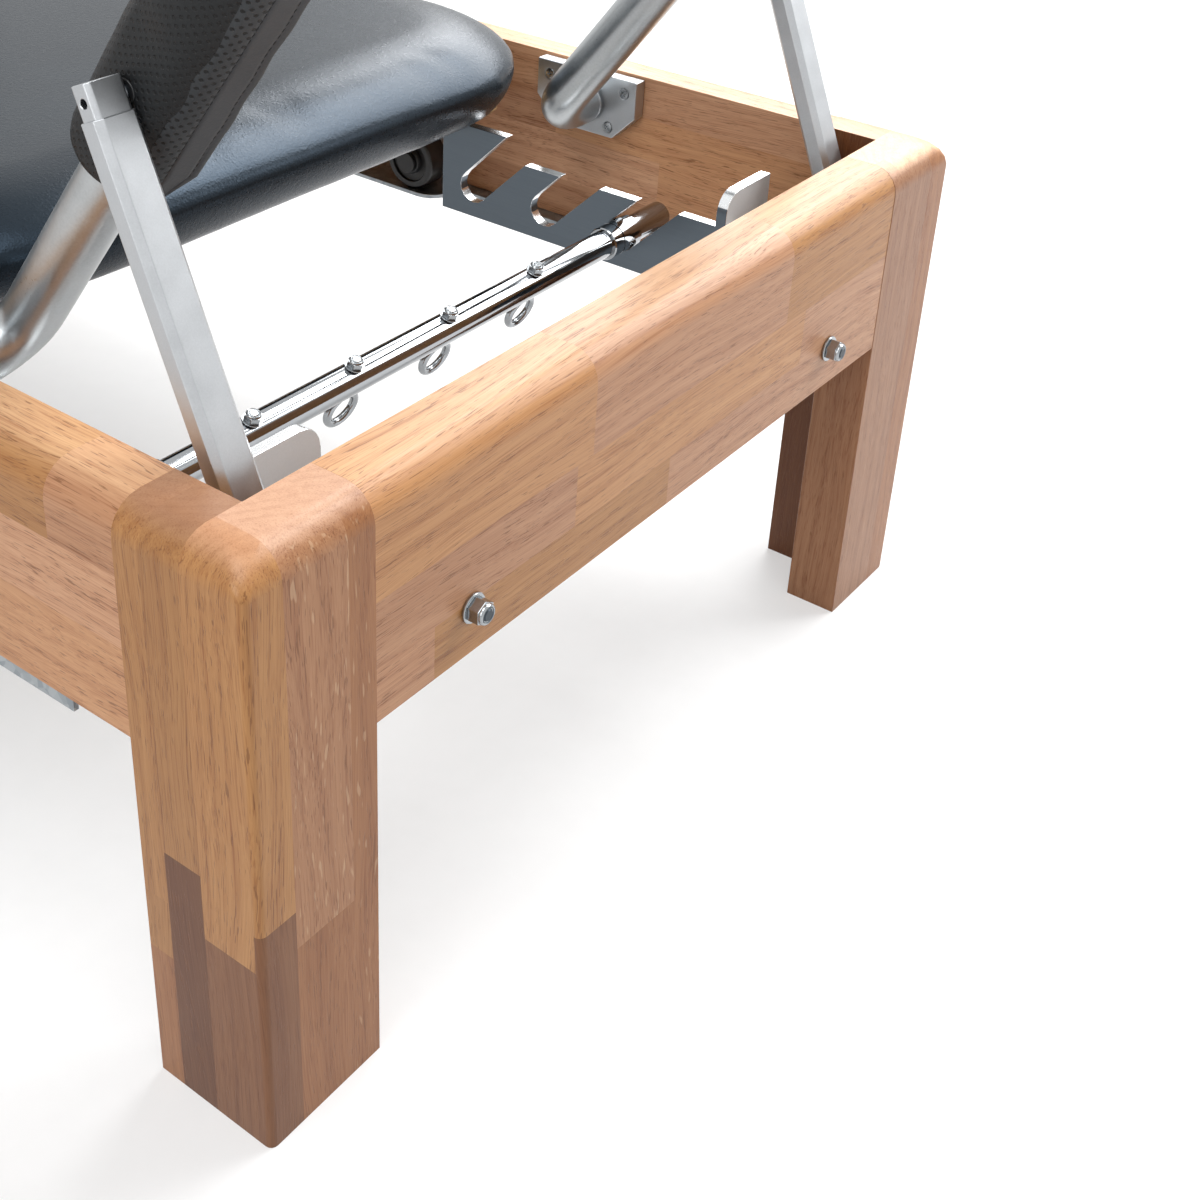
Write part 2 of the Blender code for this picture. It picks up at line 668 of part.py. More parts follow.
def make_eyebolt(name, place):
    """A forged ring under the bar, its shank through it, and a nut on top."""
    centre = Vector((from_foot(SPRING_BAR_FROM_FOOT), place, SPRING_BAR_HEIGHT))
    up = eye_direction()
    seat = SPRING_BAR_RADIUS + FACE_GAP
    nut_top = seat + EYE_NUT_HEIGHT
    ring_top = -(EYE_RING_DROP - EYE_RING_RADIUS)
    shank = rod(name, EYE_SHANK_RADIUS, centre, up, ring_top, nut_top + JOINT_GAP, 8, STEEL)
    nut = hexagon(name + "_nut", EYE_NUT_ACROSS_FLATS, centre, up, seat, nut_top, None)
    ring_centre = centre - up * EYE_RING_DROP
    ring_axis = Vector((0, 1, 0)).cross(up)
    wire = [(EYE_RING_RADIUS + a, b) for a, b in arc((0, 0), EYE_WIRE_RADIUS, 0, 360, 6)[:-1]]
    ring = turned(name + "_ring", wire, ring_centre, ring_axis, 16, None, ring=True)
    return join(shank, nut, ring)


# Footbar

def arm_point(side, along):
    """A point on a footbar arm's centre line, at a distance from the pivot."""
    return Vector((from_foot(FOOTBAR_FROM_FOOT) + along * math.cos(FOOTBAR_ANGLE),
                   from_side(side, FOOTBAR_ARM_FROM_SIDE),
                   FOOTBAR_PIVOT_HEIGHT + along * math.sin(FOOTBAR_ANGLE)))


def hub_face_from_side():
    return BOARD_THICK + FACE_GAP + BRACKET_THICK + HUB_THICK


def footbar_corners():
    start_from_side = hub_face_from_side() + RUNNING_GAP
    pivot_x = from_foot(FOOTBAR_FROM_FOOT)
    corners = []
    for side in (-1, 1):
        start = (pivot_x, from_side(side, start_from_side), FOOTBAR_PIVOT_HEIGHT)
        half = [start, arm_point(side, 0), arm_point(side, FOOTBAR_ARM_LENGTH)]
        corners += half if side < 0 else half[::-1]
    return corners


def make_footbar_tube(name):
    bends = [FOOTBAR_ELBOW_BEND, FOOTBAR_TOP_BEND, FOOTBAR_TOP_BEND, FOOTBAR_ELBOW_BEND]
    path = rounded_path(footbar_corners(), bends)
    bar = tube(name, path, even_radii(path, FOOTBAR_RADIUS), BLASTED, 16)
    return hollow(bar, path, FOOTBAR_RADIUS - FOOTBAR_WALL, 16)


def sleeve_path():
    """Path and radii of the sleeve; its lower ends are drawn in round the tube."""
    corners = [arm_point(-1, SLEEVE_START), arm_point(-1, FOOTBAR_ARM_LENGTH),
               arm_point(1, FOOTBAR_ARM_LENGTH), arm_point(1, SLEEVE_START)]
    middle = rounded_path(corners, [FOOTBAR_TOP_BEND, FOOTBAR_TOP_BEND])[1:-1]
    radii = [radius for _, radius in SLEEVE_SHAPE]
    path = [arm_point(-1, along) for along, _ in SLEEVE_SHAPE] + middle
    path += [arm_point(1, along) for along, _ in reversed(SLEEVE_SHAPE)]
    return path, radii + even_radii(middle, radii[-1]) + radii[::-1]


def make_footbar_sleeve(name):
    path, radii = sleeve_path()
    sleeve = tube(name, path, radii, SLEEVE_LEATHER, 16)
    hollow(sleeve, path, FOOTBAR_RADIUS + FACE_GAP, 16)
    across = Vector((math.sin(FOOTBAR_ANGLE), 0, -math.cos(FOOTBAR_ANGLE))) * SLEEVE_SHAPE[-1][1] * 2
    for word, side in SIDES.items():
        pin_hole = rod("sleeve_pin_hole_" + word, PROP_PIN_SHOULDER_RADIUS + FACE_GAP,
                       arm_point(side, PROP_ALONG_ARM), (0, side, 0),
                       FOOTBAR_RADIUS / 2, FOOTBAR_ARM_FROM_SIDE, 16, None)
        low = arm_point(side, SLEEVE_START / 2)
        high = arm_point(side, PROP_ALONG_ARM + SLEEVE_RELIEF_PAST_PIN)
        outline = [(p.x, p.z) for p in (low - across, low + across, high + across, high - across)]
        prop_face = from_side(side, PROP_FROM_SIDE + PROP_WIDTH / 2 + FACE_GAP)
        outside = from_side(side, 0)
        relief = prism("sleeve_relief_" + word, outline, "Y", min(prop_face, outside),
                       max(prop_face, outside), None)
        cut(sleeve, relief, pin_hole)
    return sleeve


def make_footbar_bracket(name, side):
    """A block screwed inside the rail, with the hub and pin that the footbar turns on."""
    pivot_x = from_foot(FOOTBAR_FROM_FOOT)
    low = BRACKET_TOP - BRACKET_HEIGHT
    half = BRACKET_LENGTH / 2
    outline = [(pivot_x - half, BRACKET_TOP), (pivot_x - half, low + BRACKET_CUT),
               (pivot_x - half + BRACKET_CUT, low), (pivot_x + half - BRACKET_CUT, low),
               (pivot_x + half, low + BRACKET_CUT), (pivot_x + half, BRACKET_TOP)]
    back = from_side(side, BOARD_THICK + FACE_GAP)
    front = from_side(side, BOARD_THICK + FACE_GAP + BRACKET_THICK)
    block = prism(name, outline, "Y", min(back, front), max(back, front), BLASTED)
    centre = (pivot_x, front, FOOTBAR_PIVOT_HEIGHT)
    profile = [(0, -BRACKET_THICK / 2), (HUB_RADIUS, -BRACKET_THICK / 2), (HUB_RADIUS, HUB_THICK),
               (PIVOT_PIN_RADIUS, HUB_THICK), (PIVOT_PIN_RADIUS, HUB_THICK + PIVOT_PIN_LENGTH),
               (0, HUB_THICK + PIVOT_PIN_LENGTH)]
    hub = turned(name + "_hub", profile, centre, (0, -side, 0), 16, None)
    return join(block, hub)


# Props

def prop_frame(side):
    """The prop's pin point and its direction from the foot up to the pin."""
    arm = arm_point(side, PROP_ALONG_ARM)
    pin = Vector((arm.x, from_side(side, PROP_FROM_SIDE), arm.z))
    return pin, Vector((math.cos(PROP_ANGLE), 0, math.sin(PROP_ANGLE)))


def tilted_body(name, side, section, top, bottom, material):
    """A section in (across, y) pushed along the prop, from top to bottom below the pin."""
    pin, up = prop_frame(side)
    across = Vector((up.z, 0, -up.x))
    bm = bmesh.new()
    ring = [bm.verts.new(pin + across * a + Vector((0, b, 0)) - up * top) for a, b in section]
    face = bm.faces.new(ring)
    pushed = bmesh.ops.extrude_face_region(bm, geom=[face])["geom"]
    ends = [v for v in pushed if isinstance(v, bmesh.types.BMVert)]
    bmesh.ops.translate(bm, verts=ends, vec=-up * (bottom - top))
    return finish_object(name, bm, material)


def chamfered_section(depth, width, chamfer):
    a, b = depth / 2, width / 2
    return [(a - chamfer, b), (-a + chamfer, b), (-a, b - chamfer), (-a, -b + chamfer),
            (-a + chamfer, -b), (a - chamfer, -b), (a, -b + chamfer), (a, b - chamfer)]


def make_prop_tube(name, side):
    """Rectangular tube; its foot is closed and rounded."""
    pin, up = prop_frame(side)
    body = tilted_body(name, side, chamfered_section(PROP_DEPTH, PROP_WIDTH, PROP_CHAMFER),
                       PROP_TUBE_BELOW_PIN, PROP_LENGTH, BLASTED)
    foot = rod(name + "_foot", PROP_DEPTH / 2, pin - up * PROP_LENGTH, (0, 1, 0),
               -PROP_WIDTH / 2 + PROP_CHAMFER, PROP_WIDTH / 2 - PROP_CHAMFER, 24, None)
    core_section = chamfered_section(PROP_DEPTH - 2 * PROP_WALL, PROP_WIDTH - 2 * PROP_WALL,
                                     PROP_CHAMFER / 2)
    core = tilted_body(name + "_core", side, core_section, 0,
                       PROP_TUBE_BELOW_PIN + PROP_BLOCK_DEPTH_IN_TUBE + JOINT_GAP, None)
    return cut(join(body, foot), core)


def make_prop_block(name, side):
    """The solid end that fills the tube's top and turns on the pin."""
    pin, _ = prop_frame(side)
    fit = 2 * (PROP_WALL + JOINT_GAP)
    section = chamfered_section(PROP_DEPTH - fit, PROP_WIDTH - fit, PROP_CHAMFER / 2 + JOINT_GAP)
    block = tilted_body(name, side, section, -PROP_BLOCK_ABOVE_PIN,
                        PROP_TUBE_BELOW_PIN + PROP_BLOCK_DEPTH_IN_TUBE, BLASTED)
    bore = rod(name + "_bore", PROP_PIN_RADIUS + RUNNING_GAP, pin, (0, 1, 0),
               -PROP_WIDTH, PROP_WIDTH, 20, None)
    return cut(block, bore)


def make_prop_pin(name, side):
    """A shouldered pin from the footbar arm out through the prop."""
    arm = arm_point(side, PROP_ALONG_ARM)
    start = FOOTBAR_RADIUS + FACE_GAP
    prop_reach = FOOTBAR_ARM_FROM_SIDE - PROP_FROM_SIDE
    shoulder = prop_reach - PROP_WIDTH / 2 - FACE_GAP
    outer = prop_reach + PROP_WIDTH / 2 - PROP_WALL - PROP_PIN_RECESS
    profile = [(0, start), (PROP_PIN_SHOULDER_RADIUS, start), (PROP_PIN_SHOULDER_RADIUS, shoulder),
               (PROP_PIN_RADIUS, shoulder), (PROP_PIN_RADIUS, outer), (0, outer)]
    return turned(name, profile, arm, (0, side, 0), 16, STEEL)


def make_prop_seat(name, side):
    """The wedge in the frame's corner that the prop's foot stands on, square to the prop."""
    pin, up = prop_frame(side)
    contact = pin - up * (PROP_LENGTH + PROP_DEPTH / 2 + FACE_GAP)
    slope = -up.x / up.z
    head_end = from_foot(SEAT_FROM_FOOT)
    foot_end = from_foot(BOARD_THICK + FACE_GAP)
    head_top = contact.z + (head_end - contact.x) * slope
    foot_top = contact.z + (foot_end - contact.x) * slope
    outline = [(head_end, head_top - SEAT_HEIGHT), (foot_end, head_top - SEAT_HEIGHT),
               (foot_end, foot_top), (head_end, head_top)]
    outer = from_side(side, BOARD_THICK + FACE_GAP)
    inner = from_side(side, BOARD_THICK + FACE_GAP + SEAT_DEPTH)
    return prism(name, outline, "Y", min(outer, inner), max(outer, inner), BLACK_PLASTIC)


# Carriage

def make_cushion(name, centre, size, low, high, corner_round, lower_edge, upper_edge, material):
    """An upholstered slab; each rounded edge is given as (inwards, upwards)."""
    levels = []
    for angle in (-90, -60, -30, 0):
        levels.append((lower_edge, low + lower_edge[1], math.radians(angle)))
    for angle in (0, 30, 60, 90):
        levels.append((upper_edge, high - upper_edge[1], math.radians(angle)))
    loops = []
    for edge, z, angle in levels:
        inset = edge[0] * (1 - math.cos(angle))
        outline = rounded_rectangle(centre, (size[0] - 2 * inset, size[1] - 2 * inset),
                                    max(corner_round - inset, corner_round / 4), 6)
        loops.append([(x, y, z + edge[1] * math.sin(angle)) for x, y in outline])
    bm = bmesh.new()
    add_loops(bm, loops)
    return finish_object(name, bm, material, 50)


PAD_FOOT_X = from_foot(PAD_FOOT_FROM_FOOT)
PAD_HEAD_X = PAD_FOOT_X - PAD_LENGTH
BASE_FOOT_X = PAD_FOOT_X - BASE_SETBACK
BASE_HEAD_X = BASE_FOOT_X - BASE_LENGTH


def make_carriage_pad(name):
    centre = ((PAD_FOOT_X + PAD_HEAD_X) / 2, 0)
    return make_cushion(name, centre, (PAD_LENGTH, PAD_WIDTH), PAD_BOTTOM, PAD_BOTTOM + PAD_THICK,
                        PAD_CORNER_ROUND, PAD_LOWER_EDGE, PAD_UPPER_EDGE, LEATHER)


def make_carriage_base(name):
    centre = ((BASE_FOOT_X + BASE_HEAD_X) / 2, 0)
    outline = rounded_rectangle(centre, (BASE_LENGTH, BASE_WIDTH), BASE_CORNER_ROUND)
    return prism(name, outline, "Z", BASE_LOW, BASE_TOP, BIRCH)


def make_side_plate(name, side):
    """The plate under the carriage's edge, outside the wheels, with an axle for each."""
    hub_reach = WHEEL_WIDTH / 2 + WHEEL_HUB_PROUD + RUNNING_GAP
    inner = WHEEL_FROM_SIDE - hub_reach
    outer = inner - SIDE_PLATE_THICK
    top = BASE_LOW - JOINT_GAP
    front = from_foot(FRONT_WHEEL_FROM_FOOT)
    rear = from_foot(REAR_WHEEL_FROM_FOOT)
    end_x = rear - SIDE_PLATE_END_MARGIN
    start_x = front + SIDE_PLATE_OVERHANG
    web_low = top - SIDE_PLATE_DEPTH
    ear = SIDE_PLATE_EAR_RADIUS
    outline = [(start_x, top), (end_x, top), (end_x, web_low), (rear - ear, web_low)]
    outline += arc((rear, WHEEL_CENTRE_Z), ear, 180, 360, 8)
    outline += [(rear + ear, web_low), (front - ear, web_low)]
    outline += arc((front, WHEEL_CENTRE_Z), ear, 180, 360, 8)
    outline += [(front + ear, web_low)]
    low_y, high_y = sorted((from_side(side, inner), from_side(side, outer)))
    plate = prism(name, outline, "Y", low_y, high_y, SHEET)
    head = 2 * hub_reach
    profile = [(0, -SIDE_PLATE_THICK / 2), (AXLE_RADIUS, -SIDE_PLATE_THICK / 2), (AXLE_RADIUS, head),
               (AXLE_HEAD_RADIUS, head), (AXLE_HEAD_RADIUS, head + AXLE_HEAD_THICK),
               (0, head + AXLE_HEAD_THICK)]
    for word, x in (("front", front), ("rear", rear)):
        axle = turned(name + "_axle_" + word, profile, (x, from_side(side, inner), WHEEL_CENTRE_Z),
                      (0, -side, 0), 16, None)
        join(plate, axle)
    return plate


def make_wheel(name, side, distance):
    half = WHEEL_WIDTH / 2
    hub = half + WHEEL_HUB_PROUD
    bore = AXLE_RADIUS + RUNNING_GAP
    edge = WHEEL_EDGE_BEVEL
    profile = [(bore, -hub), (WHEEL_HUB_RADIUS, -hub), (WHEEL_HUB_RADIUS, -half),
               (WHEEL_RADIUS - edge, -half), (WHEEL_RADIUS, -half + edge),
               (WHEEL_RADIUS, half - edge), (WHEEL_RADIUS - edge, half),
               (WHEEL_HUB_RADIUS, half), (WHEEL_HUB_RADIUS, hub), (bore, hub)]
    centre = (from_foot(distance), from_side(side, WHEEL_FROM_SIDE), WHEEL_CENTRE_Z)
    return turned(name, profile, centre, (0, 1, 0), 20, BLACK_PLASTIC, ring=True)


# Shoulder rests and headrest

SHOULDER_PAD_FOOT_X = PAD_HEAD_X - SHOULDER_GAP_FROM_PAD
SHOULDER_PAD_HEAD_X = SHOULDER_PAD_FOOT_X - SHOULDER_THICK
SHOULDER_PAD_LOW = BASE_TOP + JOINT_GAP + SHOULDER_PLATE_THICK + FACE_GAP


def make_shoulder_rest(name, side):
    """A padded block, its rounded face towards the foot end."""
    centre = (side * SHOULDER_CENTRE, SHOULDER_PAD_LOW + SHOULDER_HEIGHT / 2)
    outline = rounded_rectangle(centre, (SHOULDER_WIDTH, SHOULDER_HEIGHT), SHOULDER_ROUND, 4)
    bm = bmesh.new()
    add_prism(bm, outline, "X", SHOULDER_PAD_HEAD_X, SHOULDER_PAD_FOOT_X)
    bmesh.ops.recalc_face_normals(bm, faces=bm.faces)
    rim = [e for e in bm.edges if all(abs(v.co.x - SHOULDER_PAD_FOOT_X) < 1e-6 for v in e.verts)]
    bmesh.ops.bevel(bm, geom=rim, offset=SHOULDER_ROUND / 2, affect="EDGES", segments=3,
                    profile=0.5, material=-1)
    return finish_object(name, bm, LEATHER, 50)


def make_shoulder_bracket(name, side):
    """An angle: its foot on the carriage board, its stem behind the padded block."""
    back = SHOULDER_PAD_HEAD_X - FACE_GAP
    low = BASE_TOP + JOINT_GAP
    outline = [(SHOULDER_PAD_FOOT_X, low), (back - SHOULDER_FOOT_LENGTH, low),
               (back - SHOULDER_FOOT_LENGTH, low + SHOULDER_PLATE_THICK),
               (back - SHOULDER_PLATE_THICK, low + SHOULDER_PLATE_THICK),
               (back - SHOULDER_PLATE_THICK, low + SHOULDER_STEM_HEIGHT),
               (back, low + SHOULDER_STEM_HEIGHT), (back, low + SHOULDER_PLATE_THICK),
               (SHOULDER_PAD_FOOT_X, low + SHOULDER_PLATE_THICK)]
    inner = side * (SHOULDER_CENTRE - SHOULDER_STEM_WIDTH / 2)
    outer = side * (SHOULDER_CENTRE + SHOULDER_STEM_WIDTH / 2)
    return prism(name, outline, "Y", min(inner, outer), max(inner, outer), SHEET)


HEADREST_FOOT_X = PAD_HEAD_X - HEADREST_GAP_FROM_PAD
HEADREST_CENTRE = (HEADREST_FOOT_X - HEADREST_LENGTH / 2, 0)
HEADREST_BOARD_LOW = BASE_TOP + JOINT_GAP
HEADREST_BOARD_TOP = HEADREST_BOARD_LOW + HEADREST_BOARD_THICK


def make_headrest_board(name):
    outline = rounded_rectangle(HEADREST_CENTRE, (HEADREST_LENGTH, HEADREST_WIDTH),
                                HEADREST_CORNER_ROUND / 2)
    return prism(name, outline, "Z", HEADREST_BOARD_LOW, HEADREST_BOARD_TOP, BIRCH)


def make_headrest_pad(name):
    low = HEADREST_BOARD_TOP + JOINT_GAP
    return make_cushion(name, HEADREST_CENTRE, (HEADREST_LENGTH, HEADREST_WIDTH), low,
                        low + HEADREST_PAD_THICK, HEADREST_CORNER_ROUND, HEADREST_EDGE,
                        HEADREST_EDGE, LEATHER)


# Springs, lying in their tray under the carriage

def make_spring(name, place):
    """The outer shape of a close-wound spring with a loop at each end."""
    z = TRAY_FLOOR_HEIGHT + TRAY_SHEET + FACE_GAP + SPRING_RADIUS
    start = from_foot(TRAY_FROM_FOOT + TRAY_LENGTH / 2) - SPRING_LENGTH / 2
    hook = SPRING_HOOK_LENGTH
    end = SPRING_LENGTH
    profile = [(0, -hook), (SPRING_HOOK_RADIUS, -hook), (SPRING_HOOK_RADIUS, 0), (SPRING_RADIUS, 0),
               (SPRING_RADIUS, end), (SPRING_HOOK_RADIUS, end), (SPRING_HOOK_RADIUS, end + hook),
               (0, end + hook)]
    return turned(name, profile, (start, place, z), (1, 0, 0), 12, SPRING_STEEL)


def make_spring_tray(name):
    """A folded tray hung from the carriage board by its two end walls."""
    top = BASE_LOW - JOINT_GAP
    foot_x = from_foot(TRAY_FROM_FOOT)
    head_x = foot_x - TRAY_LENGTH
    low = TRAY_FLOOR_HEIGHT
    floor = low + TRAY_SHEET
    outline = [(foot_x, top), (foot_x, low), (head_x, low), (head_x, top), (head_x + TRAY_SHEET, top),
               (head_x + TRAY_SHEET, floor), (foot_x - TRAY_SHEET, floor), (foot_x - TRAY_SHEET, top)]
    return prism(name, outline, "Y", -TRAY_WIDTH / 2, TRAY_WIDTH / 2, SHEET)


# Tower

def upright_y(side):
    return from_side(side, BOARD_THICK + FACE_GAP + SOCKET_DEPTH / 2)


def make_socket(name, side):
    """A block bolted inside the side rail, bored to take the upright."""
    outer = from_side(side, BOARD_THICK + FACE_GAP)
    inner = from_side(side, BOARD_THICK + FACE_GAP + SOCKET_DEPTH)
    outline = box_outline((TOWER_X - SOCKET_LENGTH / 2, min(outer, inner)),
                          (TOWER_X + SOCKET_LENGTH / 2, max(outer, inner)))
    block = prism(name, outline, "Z", SOCKET_LOW, SOCKET_LOW + SOCKET_HEIGHT, BLACK_PLASTIC)
    bore = rod(name + "_bore", TOWER_TUBE_RADIUS + RUNNING_GAP, (TOWER_X, upright_y(side), SOCKET_LOW),
               (0, 0, 1), SOCKET_FLOOR, SOCKET_HEIGHT * 2, 24, None)
    return cut(block, bore)


def make_tower_frame(name):
    low = SOCKET_LOW + SOCKET_FLOOR + FACE_GAP
    high = TOWER_HEIGHT - TOWER_TUBE_RADIUS
    corners = [(TOWER_X, upright_y(-1), low), (TOWER_X, upright_y(-1), high),
               (TOWER_X, upright_y(1), high), (TOWER_X, upright_y(1), low)]
    path = rounded_path(corners, [TOWER_BEND, TOWER_BEND])
    pipe = tube(name, path, even_radii(path, TOWER_TUBE_RADIUS), TOWER_STEEL, 20)
    return hollow(pipe, path, TOWER_TUBE_RADIUS - TOWER_TUBE_WALL)


def clamp_ring(name, side, height, material):
    bore = TOWER_TUBE_RADIUS + RUNNING_GAP
    wall = bore + CLAMP_WALL
    half = CLAMP_HEIGHT / 2
    profile = [(bore, -half), (wall, -half), (wall, half), (bore, half)]
    return turned(name, profile, (TOWER_X, upright_y(side), height), (0, 0, 1), 24, material, ring=True)


def make_pulley_block(name, side):
    """A clamp round the upright with a two-sheet fork and the sheave's pin."""
    ring = clamp_ring(name, side, PULLEY_HEIGHT, BLACK_PLASTIC)
    bore = TOWER_TUBE_RADIUS + RUNNING_GAP
    start = TOWER_X + bore + CLAMP_WALL / 2
    centre_x = TOWER_X + PULLEY_REACH
    inner_gap = PULLEY_WIDTH / 2 + FORK_SIDE_GAP
    for word, way in (("inner", -1), ("outer", 1)):
        outline = [(start, PULLEY_HEIGHT + FORK_HALF_HEIGHT), (start, PULLEY_HEIGHT - FORK_HALF_HEIGHT)]
        outline += arc((centre_x, PULLEY_HEIGHT), FORK_HALF_HEIGHT, -90, 90, 6)
        near = upright_y(side) + way * inner_gap
        far = upright_y(side) + way * (inner_gap + FORK_SHEET)
        sheet = prism(name + "_fork_" + word, outline, "Y", min(near, far), max(near, far), None)
        join(ring, sheet)
    reach = inner_gap + FORK_SHEET / 2
    pin = rod(name + "_pin", PULLEY_PIN_RADIUS, (centre_x, upright_y(side), PULLEY_HEIGHT),
              (0, 1, 0), -reach, reach, 16, None)
    return join(ring, pin)


def make_sheave(name, side):
    half = PULLEY_WIDTH / 2
    bore = PULLEY_PIN_RADIUS + RUNNING_GAP
    rim = PULLEY_GROOVE_WIDE / 2
    floor = PULLEY_GROOVE_NARROW / 2
    profile = [(bore, -half), (PULLEY_RADIUS, -half), (PULLEY_RADIUS, -rim),
               (PULLEY_RADIUS - PULLEY_GROOVE, -floor), (PULLEY_RADIUS - PULLEY_GROOVE, floor),
               (PULLEY_RADIUS, rim), (PULLEY_RADIUS, half), (bore, half)]
    centre = (TOWER_X + PULLEY_REACH, upright_y(side), PULLEY_HEIGHT)
    return turned(name, profile, centre, (0, 1, 0), 24, BLACK_PLASTIC, ring=True)


def make_push_bar(name):
    """A U of tube that hangs between the uprights."""
    top = PUSH_PIVOT_HEIGHT + PUSH_ABOVE_PIVOT
    low = PUSH_PIVOT_HEIGHT - PUSH_DROP
    corners = [(TOWER_X, -PUSH_ARM_CENTRE, top), (TOWER_X, -PUSH_ARM_CENTRE, low),
               (TOWER_X, PUSH_ARM_CENTRE, low), (TOWER_X, PUSH_ARM_CENTRE, top)]
    path = rounded_path(corners, [PUSH_BEND, PUSH_BEND])
    bar = tube(name, path, even_radii(path, PUSH_TUBE_RADIUS), TOWER_STEEL, 12)
    hollow(bar, path, PUSH_TUBE_RADIUS - PUSH_TUBE_WALL, 8)
    for word, side in SIDES.items():
        bore = rod("push_bore_" + word, PUSH_PIN_RADIUS + RUNNING_GAP,
                   (TOWER_X, side * PUSH_ARM_CENTRE, PUSH_PIVOT_HEIGHT), (0, 1, 0),
                   -2 * PUSH_TUBE_RADIUS, 2 * PUSH_TUBE_RADIUS, 16, None)
        cut(bar, bore)
    return bar


def make_push_collar(name, side):
    """A clamp round the upright with the pin that the push-through bar hangs on."""
    ring = clamp_ring(name, side, PUSH_PIVOT_HEIGHT, BLACK_PLASTIC)
    reach = abs(upright_y(side))
    bore = TOWER_TUBE_RADIUS + RUNNING_GAP
    start = bore + CLAMP_WALL / 2
    head = reach - PUSH_ARM_CENTRE + PUSH_TUBE_RADIUS + FACE_GAP
    profile = [(0, start), (PUSH_PIN_RADIUS, start), (PUSH_PIN_RADIUS, head),
               (PUSH_PIN_HEAD_RADIUS, head), (PUSH_PIN_HEAD_RADIUS, head + PUSH_PIN_HEAD_THICK),
               (0, head + PUSH_PIN_HEAD_THICK)]
    pin = turned(name + "_pin", profile, (TOWER_X, upright_y(side), PUSH_PIVOT_HEIGHT),
                 (0, -side, 0), 20, None)
    return join(ring, pin)


def make_axis(name, place, pieces, carried_by=None):
    """An empty on a joint's axis; it carries the pieces that move about that axis."""
    axis_point = bpy.data.objects.new(name, None)
    axis_point.empty_display_size = 0.05
    axis_point.location = place
    bpy.context.scene.collection.objects.link(axis_point)
    if carried_by is not None:
        axis_point.parent = carried_by
        axis_point.matrix_parent_inverse = Matrix.Translation(-carried_by.location)
    for piece in pieces:
        thing = bpy.data.objects[piece]
        thing.parent = axis_point
        thing.matrix_parent_inverse = Matrix.Translation(-axis_point.location)
    return axis_point


# Assembly

for end_word, end in (("foot", 1), ("head", -1)):
    for side_word, side in SIDES.items():
        make_leg("leg_%s_%s" % (end_word, side_word), side, end)
    rail = make_end_rail("end_rail_" + end_word, end)
    if end > 0:
        drill_end_rail(rail)

for side_word, side in SIDES.items():
    make_side_rail("side_rail_" + side_word, side)
    make_track("track_" + side_word, side)
    make_gear_plate("gear_plate_" + side_word, side_word)
    make_rail_bolt("end_rail_bolt_" + side_word, side)
    make_footbar_bracket("footbar_bracket_" + side_word, side)
    make_prop_seat("prop_seat_" + side_word, side)
    make_prop_tube("prop_tube_" + side_word, side)
    make_prop_block("prop_block_" + side_word, side)
    make_prop_pin("prop_pin_" + side_word, side)
    make_side_plate("carriage_side_plate_" + side_word, side)
    make_wheel("wheel_front_" + side_word, side, FRONT_WHEEL_FROM_FOOT)
    make_wheel("wheel_rear_" + side_word, side, REAR_WHEEL_FROM_FOOT)
    make_shoulder_rest("shoulder_rest_" + side_word, side)
    make_shoulder_bracket("shoulder_bracket_" + side_word, side)
    make_socket("upright_socket_" + side_word, side)
    make_pulley_block("pulley_block_" + side_word, side)
    make_sheave("pulley_sheave_" + side_word, side)
    make_push_collar("push_bar_collar_" + side_word, side)

make_spring_bar("spring_bar")
for number, place in enumerate(EYE_PLACES, 1):
    make_eyebolt("eyebolt_%d" % number, place)
    make_spring("spring_%d" % number, place)
make_footbar_tube("footbar_tube")
make_footbar_sleeve("footbar_sleeve")
make_carriage_base("carriage_base")
make_carriage_pad("carriage_pad")
make_headrest_board("headrest_board")
make_headrest_pad("headrest_pad")
make_spring_tray("spring_tray")
make_tower_frame("tower_frame")
make_push_bar("push_bar")

footbar_axis = make_axis("footbar_axis", (from_foot(FOOTBAR_FROM_FOOT), 0, FOOTBAR_PIVOT_HEIGHT),
                         ["footbar_tube", "footbar_sleeve", "prop_pin_left", "prop_pin_right"])
make_axis("spring_bar_axis", (from_foot(SPRING_BAR_FROM_FOOT), 0, SPRING_BAR_HEIGHT),
          ["spring_bar", "eyebolt_1", "eyebolt_2", "eyebolt_3", "eyebolt_4"])
make_axis("push_bar_axis", (TOWER_X, 0, PUSH_PIVOT_HEIGHT), ["push_bar"])
carriage_axis = make_axis("carriage_axis", (BASE_FOOT_X, 0, BASE_TOP),
                          ["carriage_base", "carriage_pad", "spring_tray",
                           "spring_1", "spring_2", "spring_3", "spring_4"])
make_axis("headrest_axis", (HEADREST_FOOT_X, 0, (HEADREST_BOARD_LOW + HEADREST_BOARD_TOP) / 2),
          ["headrest_board", "headrest_pad"], carriage_axis)
